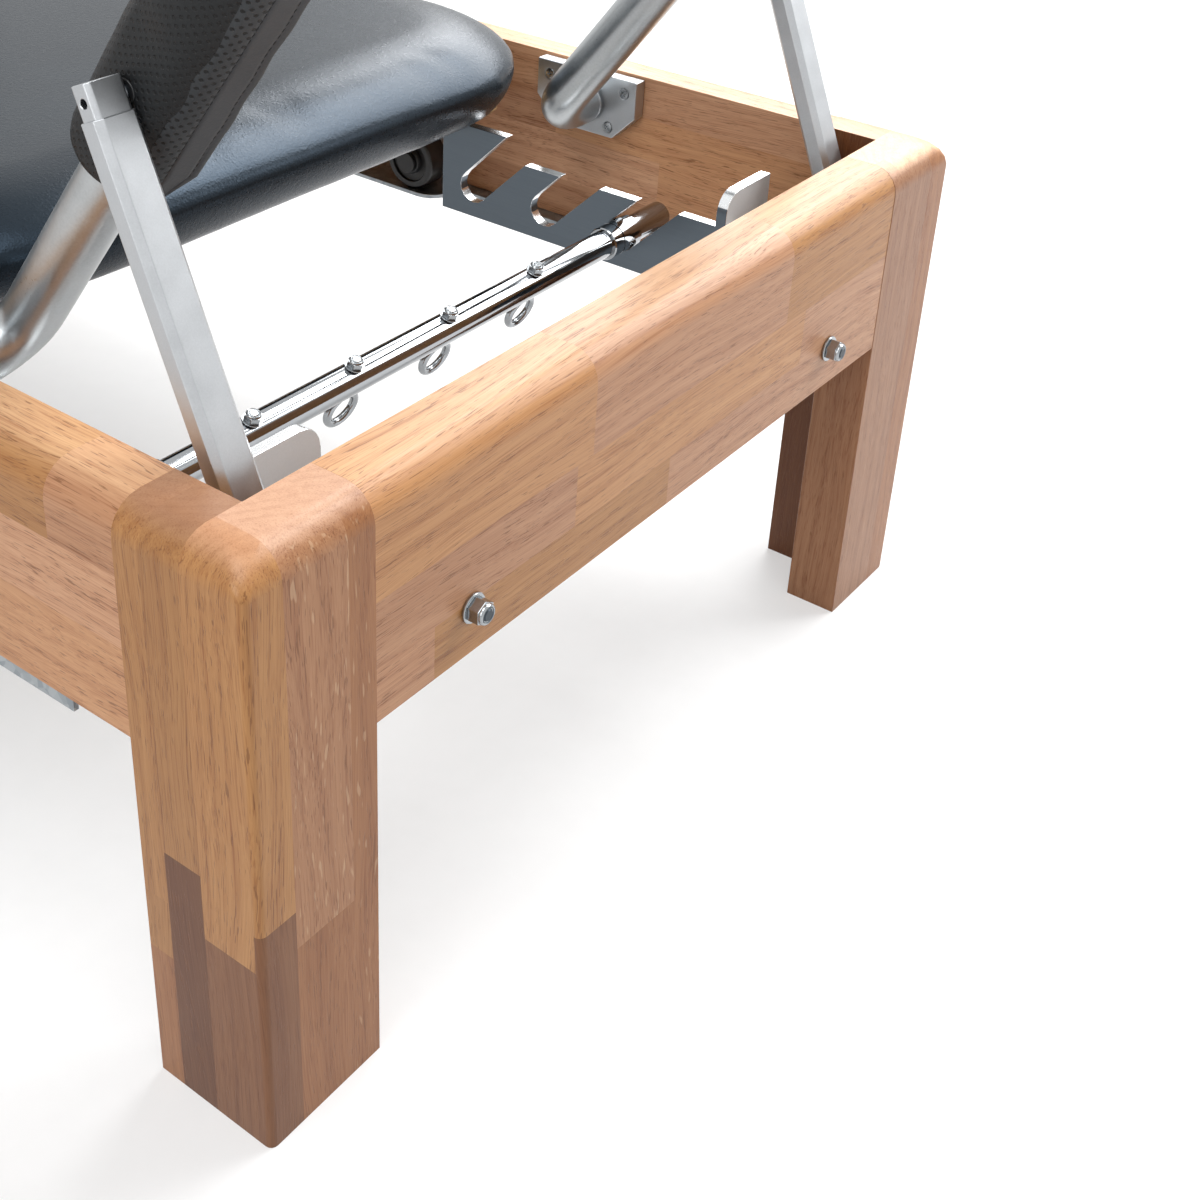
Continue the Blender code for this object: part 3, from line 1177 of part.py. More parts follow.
for side_word, side in SIDES.items():
    prop_pin_point, _ = prop_frame(side)
    make_axis("prop_axis_" + side_word, prop_pin_point,
              ["prop_tube_" + side_word, "prop_block_" + side_word], footbar_axis)
    make_axis("sheave_axis_" + side_word,
              (TOWER_X + PULLEY_REACH, upright_y(side), PULLEY_HEIGHT), ["pulley_sheave_" + side_word])
    make_axis("carriage_side_" + side_word, (BASE_FOOT_X, from_side(side, WHEEL_FROM_SIDE), BASE_LOW),
              ["carriage_side_plate_" + side_word, "shoulder_rest_" + side_word,
               "shoulder_bracket_" + side_word], carriage_axis)
    for wheel, distance in (("wheel_front_", FRONT_WHEEL_FROM_FOOT), ("wheel_rear_", REAR_WHEEL_FROM_FOOT)):
        make_axis(wheel + "axis_" + side_word,
                  (from_foot(distance), from_side(side, WHEEL_FROM_SIDE), WHEEL_CENTRE_Z),
                  [wheel + side_word], carriage_axis)
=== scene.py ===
# Pilates reformer with a tower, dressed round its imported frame.
# Metres. +X runs to the foot end, +Y to the left of a person lying on the carriage, +Z up.

import math
import random

import bmesh
import bpy
from mathutils import Matrix, Vector


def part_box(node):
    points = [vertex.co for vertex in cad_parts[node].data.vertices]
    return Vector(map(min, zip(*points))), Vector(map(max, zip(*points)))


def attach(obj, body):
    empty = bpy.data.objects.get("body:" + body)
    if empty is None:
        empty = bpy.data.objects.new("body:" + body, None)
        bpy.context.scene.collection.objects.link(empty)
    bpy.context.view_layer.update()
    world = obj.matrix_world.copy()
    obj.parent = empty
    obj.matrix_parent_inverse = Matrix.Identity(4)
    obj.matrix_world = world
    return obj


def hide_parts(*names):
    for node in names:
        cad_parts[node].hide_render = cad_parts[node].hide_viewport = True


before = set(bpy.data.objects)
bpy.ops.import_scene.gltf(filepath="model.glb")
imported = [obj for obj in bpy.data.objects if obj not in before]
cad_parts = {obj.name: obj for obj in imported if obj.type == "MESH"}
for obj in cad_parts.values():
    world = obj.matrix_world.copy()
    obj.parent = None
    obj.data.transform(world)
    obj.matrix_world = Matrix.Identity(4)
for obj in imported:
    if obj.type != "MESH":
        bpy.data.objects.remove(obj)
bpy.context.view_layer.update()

# Places that everything else is measured from, taken from the frame
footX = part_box("leg_foot_right")[1].x
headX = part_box("leg_head_right")[0].x
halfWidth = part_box("leg_foot_left")[1].y
boardThick = 0.040
sides = {"right": -1, "left": 1}


def linked(name, data):
    thing = bpy.data.objects.new(name, data)
    bpy.context.scene.collection.objects.link(thing)
    return thing


def meshFrom(name, bm):
    # writes a shape into a new mesh, and lets the shape go
    mesh = bpy.data.meshes.new(name)
    bm.to_mesh(mesh)
    bm.free()
    return mesh


def shapeOf(mesh):
    bm = bmesh.new()
    bm.from_mesh(mesh)
    return bm


# Camera at the photograph's viewing angle

photoView = {
    "place": (1.62905, -0.7435, 0.7787),
    "ahead": (-0.5142, 0.7087, -0.4829),
    "right": (0.7964, 0.6036, 0.0379),
    "lens": 50.80,
    "shiftX": 0.05695,
    "shiftY": -0.17906,
}


def makeCamera():
    ahead = Vector(photoView["ahead"]).normalized()
    right = Vector(photoView["right"])
    right = (right - ahead * right.dot(ahead)).normalized()
    up = right.cross(ahead)
    data = bpy.data.cameras.new("photoCamera")
    data.sensor_width = 36
    data.lens = photoView["lens"]
    data.shift_x = photoView["shiftX"]
    data.shift_y = photoView["shiftY"]
    data.clip_start = 0.01
    camera = linked("photoCamera", data)
    camera.matrix_world = Matrix.Translation(photoView["place"]) @ Matrix(
        (right, up, -ahead)).transposed().to_4x4()
    bpy.context.scene.camera = camera


makeCamera()
bpy.context.scene.view_settings.view_transform = "Standard"
print("camera ready")


# Colour, node and material tools

def toLinear(hexColour):
    parts = [int(hexColour[i:i + 2], 16) / 255 for i in (1, 3, 5)]
    linear = [p / 12.92 if p <= 0.04045 else ((p + 0.055) / 1.055) ** 2.4 for p in parts]
    return (*linear, 1.0)


def addNode(tree, kind, inputs=None, stops=None, **settings):
    node = tree.nodes.new("ShaderNode" + kind)
    for name, value in settings.items():
        setattr(node, name, value)
    for socket, value in (inputs or {}).items():
        if isinstance(value, bpy.types.NodeSocket):
            tree.links.new(value, node.inputs[socket])
        else:
            node.inputs[socket].default_value = value
    for index, (place, level) in enumerate(stops or []):
        elements = node.color_ramp.elements
        element = elements[index] if index < len(elements) else elements.new(place)
        element.position = place
        element.color = toLinear(level) if isinstance(level, str) else (level, level, level, 1)
    return node


def newMaterial(name, values):
    # values are constants, set straight on the shader's own sockets
    material = bpy.data.materials.new(name)
    material.use_nodes = True
    tree = material.node_tree
    shader = tree.nodes["Principled BSDF"]
    for socket, value in values.items():
        shader.inputs[socket].default_value = toLinear(value) if isinstance(value, str) else value
    place = addNode(tree, "TexCoord").outputs["Object"]
    return material, tree, shader, place


def stretched(tree, place, sizes):
    # one unit of the result is one feature of the pattern, sizes in metres
    return addNode(tree, "VectorMath", {0: place, 1: [1 / s for s in sizes]},
                   operation="MULTIPLY").outputs[0]


def speckle(tree, place, sizes, detail, roughness=0.5):
    return addNode(tree, "TexNoise", {"Vector": stretched(tree, place, sizes), "Scale": 1.0,
                                      "Detail": detail, "Roughness": roughness}).outputs[0]


def between(tree, value, low, high, start=0.0, end=1.0):
    # start below low, end above high, and even in between
    return addNode(tree, "MapRange", {"Value": value, "From Min": low, "From Max": high,
                                      "To Min": start, "To Max": end}).outputs[0]


def mixed(tree, factor, first, second, blend="MIX"):
    first = toLinear(first) if isinstance(first, str) else first
    second = toLinear(second) if isinstance(second, str) else second
    return addNode(tree, "Mix", {0: factor, 6: first, 7: second}, data_type="RGBA",
                   blend_type=blend).outputs[2]


def combined(tree, operation, first, second):
    return addNode(tree, "Math", {0: first, 1: second}, operation=operation).outputs[0]


def emboss(tree, shader, height, depth, strength):
    bump = addNode(tree, "Bump", {"Strength": strength, "Distance": depth, "Height": height})
    tree.links.new(bump.outputs[0], shader.inputs["Normal"])


def paint(tree, shader, colour, roughness=None):
    tree.links.new(colour, shader.inputs["Base Color"])
    if roughness:
        tree.links.new(roughness, shader.inputs["Roughness"])


# Oak, glued from strips and oiled: fibres and short pores along the grain, soft rings, pale ray flecks

oakTones = {
    "cream": "#EBC196", "blush": "#DAA984", "peach": "#D5A176", "amber": "#D09B69", "honey": "#BF8C58",
    "rose": "#C89772", "russet": "#BB855A", "tan": "#B78552", "brown": "#A8744B", "umber": "#8A5D3C",
    "smoke": "#724729", "dusk": "#A67A5A", "linen": "#CDA284", "clay": "#B4845F",
}
oakGrain = {
    "stripe": (0.45, 0.0065, 0.0065), "stripeEdges": (0.36, 0.64), "stripeShare": 0.15,
    "fibre": (0.060, 0.0008, 0.0008), "fibreEdges": (0.30, 0.70), "fibreShare": 0.26,
    "line": (0.11, 0.0009, 0.0009), "lineEdges": (0.56, 0.68), "lineShare": 0.26,
    "pore": (0.0145, 0.00070, 0.00070), "poreEdges": (0.64, 0.685), "poreShare": 0.66,
    "fleck": (0.0170, 0.0028, 0.0028), "fleckEdges": (0.65, 0.71), "fleckShare": 0.28,
    "ring": 0.0085, "ringTilt": 0.55, "ringShare": 0.12, "crowd": (-0.035, 0.065),
    "shade": "#AE8058", "poreColour": "#7A4C2A", "fleckColour": "#EBCDA8",
    "sway": (0.20, 0.040, 0.040), "swayReach": 0.020, "endShare": 0.12, "endLines": 0.70,
    "roughness": (0.30, 0.38), "bumpDepth": 0.00016,
}


def makeOak(grain):
    material, tree, shader, _ = newMaterial("oiledOak", {"Specular IOR Level": 0.32})
    place = addNode(tree, "Attribute", attribute_name="grainPlace").outputs["Vector"]
    tone = addNode(tree, "Attribute", attribute_name="stripTone")
    ends = addNode(tree, "Attribute", attribute_name="endGrain").outputs["Fac"]
    slow = addNode(tree, "TexNoise", {"Vector": stretched(tree, place, grain["sway"]),
                                      "Scale": 1.0, "Detail": 1.0}).outputs[1]
    centred = addNode(tree, "VectorMath", {0: slow, 1: (0.5, 0.5, 0.5)}, operation="SUBTRACT").outputs[0]
    sway = addNode(tree, "VectorMath", {0: centred, 1: (0.0, grain["swayReach"], grain["swayReach"])},
                   operation="MULTIPLY").outputs[0]
    along = addNode(tree, "VectorMath", {0: place, 1: sway}, operation="ADD").outputs[0]

    def layer(name, detail=1.0, roughness=0.5):
        return between(tree, speckle(tree, along, grain[name], detail, roughness), *grain[name + "Edges"])

    axes = addNode(tree, "SeparateXYZ", {0: along})
    across = combined(tree, "MULTIPLY_ADD", axes.outputs[1], grain["ringTilt"])
    tree.links.new(axes.outputs[2], across.node.inputs[2])
    turns = combined(tree, "MULTIPLY", across, math.tau / grain["ring"])
    ring = between(tree, combined(tree, "SINE", turns, 0.0), 0.0, 1.0)
    stripe, fibre, line = layer("stripe", 2.0), layer("fibre", 2.0, 0.6), layer("line")
    amount = combined(tree, "MULTIPLY", stripe, grain["stripeShare"])
    for lines, share in ((fibre, "fibreShare"), (line, "lineShare"), (ring, "ringShare")):
        amount = combined(tree, "ADD", amount, combined(tree, "MULTIPLY", lines, grain[share]))
    lined = combined(tree, "MULTIPLY", amount, between(tree, ends, 0, 1, 1.0, grain["endLines"]))
    grained = mixed(tree, lined, tone.outputs[0], grain["shade"], "MULTIPLY")
    # pores crowd together in the soft early wood, and hardly show on the ends
    crowd = between(tree, combined(tree, "ADD", stripe, ring), 0.2, 1.8, *grain["crowd"])
    crowded = combined(tree, "ADD", speckle(tree, along, grain["pore"], 1.0), crowd)
    pore = combined(tree, "MULTIPLY", between(tree, crowded, *grain["poreEdges"]),
                    between(tree, ends, 0, 1, 1.0, grain["endShare"]))
    pored = mixed(tree, combined(tree, "MULTIPLY", pore, grain["poreShare"]), grained, grain["poreColour"])
    flecked = combined(tree, "MULTIPLY", combined(tree, "MULTIPLY", layer("fleck"), tone.outputs["Alpha"]),
                       grain["fleckShare"])
    paint(tree, shader, mixed(tree, flecked, pored, grain["fleckColour"]),
          between(tree, fibre, 0, 1, *grain["roughness"]))
    emboss(tree, shader, combined(tree, "SUBTRACT", 1.0, pore), grain["bumpDepth"], 0.5)
    return material


# Metals. Each keeps the default IOR; only grain, tone and roughness differ.

def makeMetal(name, colour, roughness, grain, tone, spread, bumpDepth=0.0, metallic=1.0):
    # grain is the pattern's size along x, y and z in metres
    material, tree, shader, place = newMaterial(name, {"Metallic": metallic})
    pattern = speckle(tree, place, grain, 3.0, 0.6)
    broad = speckle(tree, place, [g * 14 for g in grain], 2.0)
    level = combined(tree, "ADD", combined(tree, "MULTIPLY", pattern, 0.6),
                     combined(tree, "MULTIPLY", broad, 0.4))
    shade = between(tree, level, 0.3, 0.7, 1.0 - tone, 1.0)
    grey = addNode(tree, "CombineColor", {0: shade, 1: shade, 2: shade}).outputs[0]
    paint(tree, shader, mixed(tree, 1.0, colour, grey, "MULTIPLY"),
          between(tree, level, 0.3, 0.7, roughness - spread / 2, roughness + spread / 2))
    if bumpDepth:
        emboss(tree, shader, pattern, bumpDepth, 0.6)
    return material


def makeGalvanised():
    # hot-dip zinc: flat crystals of slightly different greys, 6 mm across
    material, tree, shader, place = newMaterial("galvanisedSheet", {"Metallic": 1.0})
    crystal = addNode(tree, "TexVoronoi", {"Vector": stretched(tree, place, (0.006,) * 3), "Scale": 1.0})
    tint = addNode(tree, "SeparateColor", {0: crystal.outputs[1]}).outputs[0]
    colour = addNode(tree, "ValToRGB", {0: tint},
                     stops=[(0.0, "#8E969C"), (0.5, "#A3A9AD"), (1.0, "#B4B9BC")]).outputs[0]
    paint(tree, shader, colour, between(tree, tint, 0, 1, 0.36, 0.50))
    return material


# Plastics and leatherette

def makeNylon(name, colour, roughness=0.45, grain=0.0007):
    # moulded nylon: near black with the fine spark-eroded grain of the mould
    material, tree, shader, place = newMaterial(name, {"IOR": 1.53})
    grit = speckle(tree, place, (grain,) * 3, 2.0)
    scuff = speckle(tree, place, (0.018, 0.018, 0.018), 4.0, 0.6)
    paint(tree, shader, mixed(tree, between(tree, scuff, 0.45, 0.75, 0.0, 0.35), colour, "#3A3B3C"),
          between(tree, scuff, 0.3, 0.7, roughness - 0.05, roughness + 0.10))
    emboss(tree, shader, grit, 0.00006, 0.5)
    return material


def leatherGrain(tree, place, size):
    # rounded grains with fine creases between them
    cell = addNode(tree, "TexVoronoi", {"Vector": stretched(tree, place, (size,) * 3), "Scale": 1.0},
                   feature="SMOOTH_F1").outputs[0]
    crease = speckle(tree, place, (size * 2.2,) * 3, 3.0, 0.6)
    return combined(tree, "ADD", combined(tree, "MULTIPLY", cell, -0.7), crease)


def makeLeatherette(name, colour, worn, roughness, grain, depth, sheen=0.5, tint="#FFFFFF"):
    material, tree, shader, place = newMaterial(
        name, {"IOR": 1.5, "Specular IOR Level": sheen, "Specular Tint": tint})
    height = leatherGrain(tree, place, grain)
    broad = speckle(tree, place, (0.09, 0.09, 0.09), 3.0, 0.55)
    paint(tree, shader, mixed(tree, between(tree, broad, 0.40, 0.70), colour, worn),
          between(tree, height, -0.2, 0.6, roughness + 0.05, roughness - 0.05))
    emboss(tree, shader, height, depth, 0.55)
    return material


# hole and rim are radii, as shares of the pitch: 1.6 mm across at the bottom, 2.4 mm at the rim
perforation = {"pitch": 0.0040, "hole": 0.20, "rim": 0.30, "depth": 0.0009}


def makePerforated(name, colour, worn, roughness):
    # punched leatherette: a staggered grid of holes, read from the wrap's own map; the holes are painted near
    # black, painted shade inside them
    material, tree, shader, place = newMaterial(name, {"IOR": 1.5, "Specular IOR Level": 0.32})
    wrap = addNode(tree, "UVMap", uv_map="wrapMap").outputs[0]
    turned = addNode(tree, "Mapping", {"Vector": wrap, "Rotation": (0, 0, math.radians(45)),
                                       "Scale": (1 / perforation["pitch"],) * 3}).outputs[0]
    away = addNode(tree, "TexVoronoi", {"Vector": turned, "Scale": 1.0, "Randomness": 0.0},
                   voronoi_dimensions="2D").outputs[0]
    solid = between(tree, away, perforation["hole"], perforation["rim"])
    grain = leatherGrain(tree, place, 0.0012)
    broad = speckle(tree, place, (0.06, 0.06, 0.06), 3.0, 0.55)
    face = mixed(tree, between(tree, broad, 0.4, 0.7), colour, worn)
    # painted shade: the holes' insides are painted near black
    paint(tree, shader, mixed(tree, solid, "#060607", face),
          between(tree, grain, -0.2, 0.6, roughness + 0.06, roughness - 0.04))
    height = combined(tree, "ADD", solid, combined(tree, "MULTIPLY", grain, 0.12))
    emboss(tree, shader, height, perforation["depth"], 0.7)
    return material


def makePlywood():
    # birch plywood: a pale rotary-cut face, and thin light and dark plies along the edges
    ply = 0.00136
    material, tree, shader, place = newMaterial("lacqueredBirchPlywood", {"Roughness": 0.42})
    figure = speckle(tree, place, (0.22, 0.012, 0.012), 4.0, 0.6)
    pith = speckle(tree, place, (0.006, 0.0006, 0.004), 1.0)
    face = addNode(tree, "ValToRGB", {0: figure},
                   stops=[(0.30, "#C9A476"), (0.55, "#D9B88D"), (0.75, "#E2C69F")]).outputs[0]
    face = mixed(tree, between(tree, pith, 0.64, 0.72, 0.0, 0.4), face, "#8D6A45")
    height = addNode(tree, "SeparateXYZ", {0: place}).outputs[2]
    layer = combined(tree, "PINGPONG", combined(tree, "DIVIDE", height, ply), 1.0)
    edge = mixed(tree, between(tree, layer, 0.35, 0.65), "#D8B78A", "#9A7248")
    upward = addNode(tree, "SeparateXYZ", {0: addNode(tree, "NewGeometry").outputs["True Normal"]}).outputs[2]
    flat = between(tree, combined(tree, "ABSOLUTE", upward, 0.0), 0.5, 0.7)
    paint(tree, shader, mixed(tree, flat, edge, face))
    emboss(tree, shader, figure, 0.0002, 0.3)
    return material


oak = makeOak(oakGrain)
# bead-blasted aluminium: an even, slightly cloudy satin with a 0.9 mm grit
blasted = makeMetal("beadBlastedAluminium", "#C2C5C8", 0.36, (0.0009,) * 3, 0.13, 0.10, 0.00005)
# the same finish on the bent tube, greyer, with larger clouds from handling
blastedTube = makeMetal("cloudyBlastedTube", "#BDC1C3", 0.34, (0.0016,) * 3, 0.20, 0.14, 0.00006)
# grey anodised plate: a dull blue-grey film, smooth, with faint rolling lines
anodised = makeMetal("greyAnodisedPlate", "#6A737B", 0.34, (0.030, 0.030, 0.0006), 0.10, 0.06)
# laser-cut edge of the same plate, bright and lightly ribbed
cutEdge = makeMetal("machinedAluminiumEdge", "#EEF0F1", 0.24, (0.0008, 0.012, 0.0008), 0.08, 0.08)
# the tab's front: painted pale and almost without metal, a painted reflection of the bright sky above it
tabPaintedReflection = makeMetal("tabPaintedSkyReflection", "#F0F5F8", 0.44, (0.0012,) * 3, 0.06, 0.08, metallic=0.05)
# polished chrome: a mirror with the haze of handling on it
chrome = makeMetal("polishedChrome", "#A4A7AA", 0.085, (0.010,) * 3, 0.03, 0.05)
# bright zinc on the fasteners: shiny, with dull patches where the bath was uneven
zinc = makeMetal("brightZincSteel", "#A9ADB0", 0.22, (0.0016,) * 3, 0.16, 0.14)
darkSteel = makeMetal("oiledSteelThread", "#4B5157", 0.38, (0.0012,) * 3, 0.30, 0.10)
# satin stainless tube: drawn lines round the tube soften what it mirrors
satinTube = makeMetal("satinStainlessTube", "#C6CACC", 0.30, (0.020, 0.020, 0.0007), 0.10, 0.08)
# spring wire: drawn steel, oiled, its tone varying a little at random
springWire = makeMetal("drawnSpringWire", "#A2A7AB", 0.27, (0.0012,) * 3, 0.20, 0.12)
galvanised = makeGalvanised()
blackNylon = makeNylon("mouldedBlackNylon", "#17181A")
tyre = makeNylon("blackPolyurethaneTyre", "#131415", 0.33, 0.0011)
nylonRing = makeNylon("greyNylonInsert", "#4A565E", 0.40)
# slate leatherette: blue-grey coated cloth, fine round grain, satin shine
slate = makeLeatherette("slateLeatherette", "#171B1F", "#1C2125", 0.29, 0.0013, 0.00028, 0.36, "#A4C4E4")
hemLeather = makeLeatherette("blackLeatheretteHem", "#303337", "#3A3D41", 0.46, 0.0011, 0.00016)
sleeveLeather = makePerforated("perforatedBlackLeatherette", "#131517", "#1A1C1E", 0.50)
# the lap: the same punched leatherette painted lighter, a painted highlight for the light that catches the
# band beside the hem
litLapLeather = makePerforated("perforatedLeatheretteLapPaintedLit", "#313437", "#393C3F", 0.46)
# polyester thread: matt, slightly paler than the leather it is sewn into
thread = makeLeatherette("blackPolyesterThread", "#1B1B1C", "#2A2A2B", 0.70, 0.0006, 0.0001)
plywood = makePlywood()
print("materials ready")


# Studio: white floor and sky, a wide window behind, softboxes above, a fill on the near side

studio = {
    "skyStrength": 0.36, "floorGlow": 0.45, "floorHalf": 9.0, "floorBounce": "#BDBDBD",
    "plainTo": 2.4, "whiteFrom": 4.6,
    "lamps": [
        {"name": "rearWindow", "from": (1.15, 2.4, 1.85), "at": (1.0, 0.0, 0.35), "wide": 4.4, "high": 1.2,
         "power": 116},
        {"name": "highSoftbox", "from": (1.25, 1.7, 2.6), "at": (0.9, 0.0, 0.38), "wide": 2.0, "high": 0.7,
         "power": 58},
        {"name": "overheadSoftbox", "from": (1.35, -0.9, 2.4), "at": (1.0, 0.0, 0.35), "wide": 1.4,
         "high": 1.4, "power": 23},
        {"name": "sideFill", "from": (1.1, -3.1, 1.6), "at": (1.0, -0.2, 0.25), "wide": 1.8, "high": 1.6,
         "power": 34},
    ],
}


def seenDirectly(tree):
    # 1 where the camera, a mirror or clear glass looks straight at it
    path = addNode(tree, "LightPath")
    either = combined(tree, "MAXIMUM", path.outputs["Is Camera Ray"], path.outputs["Is Glossy Ray"])
    return combined(tree, "MAXIMUM", either, path.outputs["Is Transmission Ray"])


def makeStudio():
    world = bpy.data.worlds.new("whiteStudio")
    world.use_nodes = True
    bpy.context.scene.world = world
    tree = world.node_tree
    background = tree.nodes["Background"]
    background.inputs["Color"].default_value = toLinear("#FFFFFF")
    tree.links.new(between(tree, seenDirectly(tree), 0, 1, studio["skyStrength"], 1.0),
                   background.inputs["Strength"])

    material, tree, shader, place = newMaterial("paleStudioFloor", {"Roughness": 0.9})
    grit = mixed(tree, speckle(tree, place, (0.02, 0.02, 0.02), 3.0), "#EFEFEF", "#F6F6F6")
    seen = seenDirectly(tree)
    tree.links.new(mixed(tree, seen, studio["floorBounce"], grit), shader.inputs["Base Color"])
    glow = addNode(tree, "Emission", {"Color": toLinear("#FFFFFF"), "Strength": 1.0}).outputs[0]
    # far from the machine the floor fades to plain white
    away = addNode(tree, "VectorMath", {0: place}, operation="LENGTH").outputs["Value"]
    whiteness = between(tree, away, studio["plainTo"], studio["whiteFrom"], studio["floorGlow"], 1.0)
    share = combined(tree, "MULTIPLY", seen, whiteness)
    surface = addNode(tree, "MixShader", {0: share, 1: shader.outputs[0], 2: glow}).outputs[0]
    tree.links.new(surface, tree.nodes["Material Output"].inputs["Surface"])
    bm = bmesh.new()
    bmesh.ops.create_grid(bm, x_segments=1, y_segments=1, size=studio["floorHalf"])
    floor = linked("studioFloor", meshFrom("studioFloor", bm))
    floor.data.materials.append(material)

    for lamp in studio["lamps"]:
        light = bpy.data.lights.new(lamp["name"], "AREA")
        light.shape = "RECTANGLE"
        light.size, light.size_y = lamp["wide"], lamp["high"]
        light.energy = lamp["power"]
        thing = linked(lamp["name"], light)
        thing.location = lamp["from"]
        aim = Vector(lamp["at"]) - Vector(lamp["from"])
        thing.rotation_euler = aim.to_track_quat("-Z", "Y").to_euler()


makeStudio()
print("studio ready")


# Shape tools

sharpAngle = math.radians(38)


def faceCentre(face):
    return face.calc_center_median()


def nodeShape(node):
    # a copy of a frame node's mesh, its loose triangles joined up again
    bm = shapeOf(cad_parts[node].data)
    bmesh.ops.remove_doubles(bm, verts=bm.verts, dist=0.00002)
    bmesh.ops.dissolve_limit(bm, angle_limit=math.radians(0.6), verts=bm.verts, edges=bm.edges)
    return bm


def smoothStep(value, low, high):
    t = min(1, max(0, (value - low) / (high - low)))
    return t * t * (3 - 2 * t)


def softenEdges(bm, width, segments=3):
    edges = [e for e in bm.edges if e.is_manifold and e.calc_face_angle(0) > sharpAngle]
    bmesh.ops.bevel(bm, geom=edges, offset=width, affect="EDGES", segments=segments, profile=0.5,
                    material=-1, clamp_overlap=True)


def finishPiece(name, bm, body, materials, replaced, smoothBelow=40, turnOut=True, evenNormals=True):
    # replaced are the frame's nodes that this piece stands for
    bmesh.ops.remove_doubles(bm, verts=bm.verts, dist=0.000001)
    if turnOut:
        bmesh.ops.recalc_face_normals(bm, faces=bm.faces)
    mesh = meshFrom(name, bm)
    mesh.shade_smooth()
    mesh.set_sharp_from_angle(angle=math.radians(smoothBelow))
    for material in materials:
        mesh.materials.append(material)
    piece = linked(name, mesh)
    if evenNormals:
        piece.modifiers.new("evenNormals", "WEIGHTED_NORMAL").keep_sharp = True
    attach(piece, body)
    for node in replaced:
        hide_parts(node)
    return piece


def inOrder(items):
    # each item once, in the order they come
    return list(dict.fromkeys(items))


def addTurned(bm, profile, centre, direction, steps, ring=False, material=0):
    # turns (radius, distance along) points round the line through centre
    direction = Vector(direction).normalized()
    across = direction.orthogonal().normalized()
    before = set(bm.faces)
    verts = [bm.verts.new(Vector(centre) + across * r + direction * t) for r, t in profile]
    edges = [bm.edges.new(pair) for pair in zip(verts, verts[1:])]
    if ring:
        edges.append(bm.edges.new((verts[-1], verts[0])))
    bmesh.ops.spin(bm, geom=verts + edges, cent=centre, axis=direction, angle=math.tau,
                   steps=steps, use_merge=True)
    faces = [f for f in bm.faces if f not in before]
    bmesh.ops.remove_doubles(bm, verts=inOrder(v for f in faces for v in f.verts), dist=0.000001)
    faces = [f for f in bm.faces if f not in before]
    for face in faces:
        face.material_index = material


def mirrored(profile, skip=0):
    # a closed profile from its half on the + side; skip leaves out what lies on the middle
    return profile + [(r, -t) for r, t in reversed(profile[skip:])]


def wireSection(ringRadius, wireRadius, sides):
    turns = [i * math.tau / sides for i in range(sides)]
    return [(ringRadius + wireRadius * math.cos(a), wireRadius * math.sin(a)) for a in turns]


def addHexagon(bm, acrossFlats, centre, direction, start, end, edge):
    # a six-sided prism with softened edges
    direction = Vector(direction).normalized()
    middle = Vector(centre) + direction * (start + end) / 2
    turn = direction.to_track_quat("Z", "Y").to_matrix().to_4x4()
    radius = acrossFlats / math.sqrt(3)
    made = bmesh.ops.create_cone(bm, cap_ends=True, segments=6, radius1=radius, radius2=radius,
                                 depth=end - start, matrix=Matrix.Translation(middle) @ turn)
    edges = inOrder(e for v in made["verts"] for e in v.link_edges)
    bmesh.ops.bevel(bm, geom=edges, offset=edge, affect="EDGES", segments=2, profile=0.5, material=-1)


def addBlock(bm, low, high):
    middle = (Vector(low) + Vector(high)) / 2
    size = Vector(high) - Vector(low)
    bmesh.ops.create_cube(bm, size=1.0, matrix=Matrix.Translation(middle) @ Matrix.Diagonal((*size, 1.0)))


def addBentTube(bm, radius, corners, bends, sides, bendSteps):
    # a ring pushed along each straight and spun round each bend
    before = set(bm.faces)
    corners = [Vector(c) for c in corners]
    way = (corners[1] - corners[0]).normalized()
    start = Matrix.Translation(corners[0]) @ way.to_track_quat("Z", "Y").to_matrix().to_4x4()
    ring = bmesh.ops.create_circle(bm, cap_ends=False, segments=sides, radius=radius, matrix=start)
    edges = inOrder(e for v in ring["verts"] for e in v.link_edges)
    firstEdges = edges
    here = corners[0]
    for index, corner in enumerate(corners[1:], 1):
        last = index == len(corners) - 1
        turn = 0 if last else way.angle((corners[index + 1] - corner).normalized())
        bend = 0 if last else bends[index - 1]
        reach = bend * math.tan(turn / 2)
        goal = corner - way * reach
        if (goal - here).length > 1e-6:
            moved = bmesh.ops.extrude_edge_only(bm, edges=edges)["geom"]
            bmesh.ops.translate(bm, verts=[g for g in moved if isinstance(g, bmesh.types.BMVert)],
                                vec=goal - here)
            edges = [g for g in moved if isinstance(g, bmesh.types.BMEdge)
                     and not any(f in before for f in g.link_faces) and len(g.link_faces) == 1]
        here = goal
        if not last:
            wayOut = (corners[index + 1] - corner).normalized()
            centre = corner + (wayOut - way).normalized() * bend / math.cos(turn / 2)
            spun = bmesh.ops.spin(bm, geom=edges, cent=centre, axis=way.cross(wayOut).normalized(),
                                  angle=turn, steps=bendSteps, use_merge=False)["geom_last"]
            edges = [g for g in spun if isinstance(g, bmesh.types.BMEdge)]
            here = corner + wayOut * reach
            way = wayOut
    for rim in (firstEdges, edges):
        bmesh.ops.holes_fill(bm, edges=rim, sides=0)


def cutWith(bm, cutter):
    # takes one shape out of another and gives the result back as a bmesh
    things = []
    for name, shape in (("kept", bm), ("cutter", cutter)):
        bmesh.ops.recalc_face_normals(shape, faces=shape.faces)
        things.append(linked(name, meshFrom(name, shape)))
    step = things[0].modifiers.new("cut", "BOOLEAN")
    step.operation = "DIFFERENCE"
    step.solver = "EXACT"
    step.object = things[1]
    shown = things[0].evaluated_get(bpy.context.evaluated_depsgraph_get())
    result = shapeOf(shown.to_mesh())
    for thing in things:
        bpy.data.objects.remove(thing, do_unlink=True)
    return result


# Oak frame

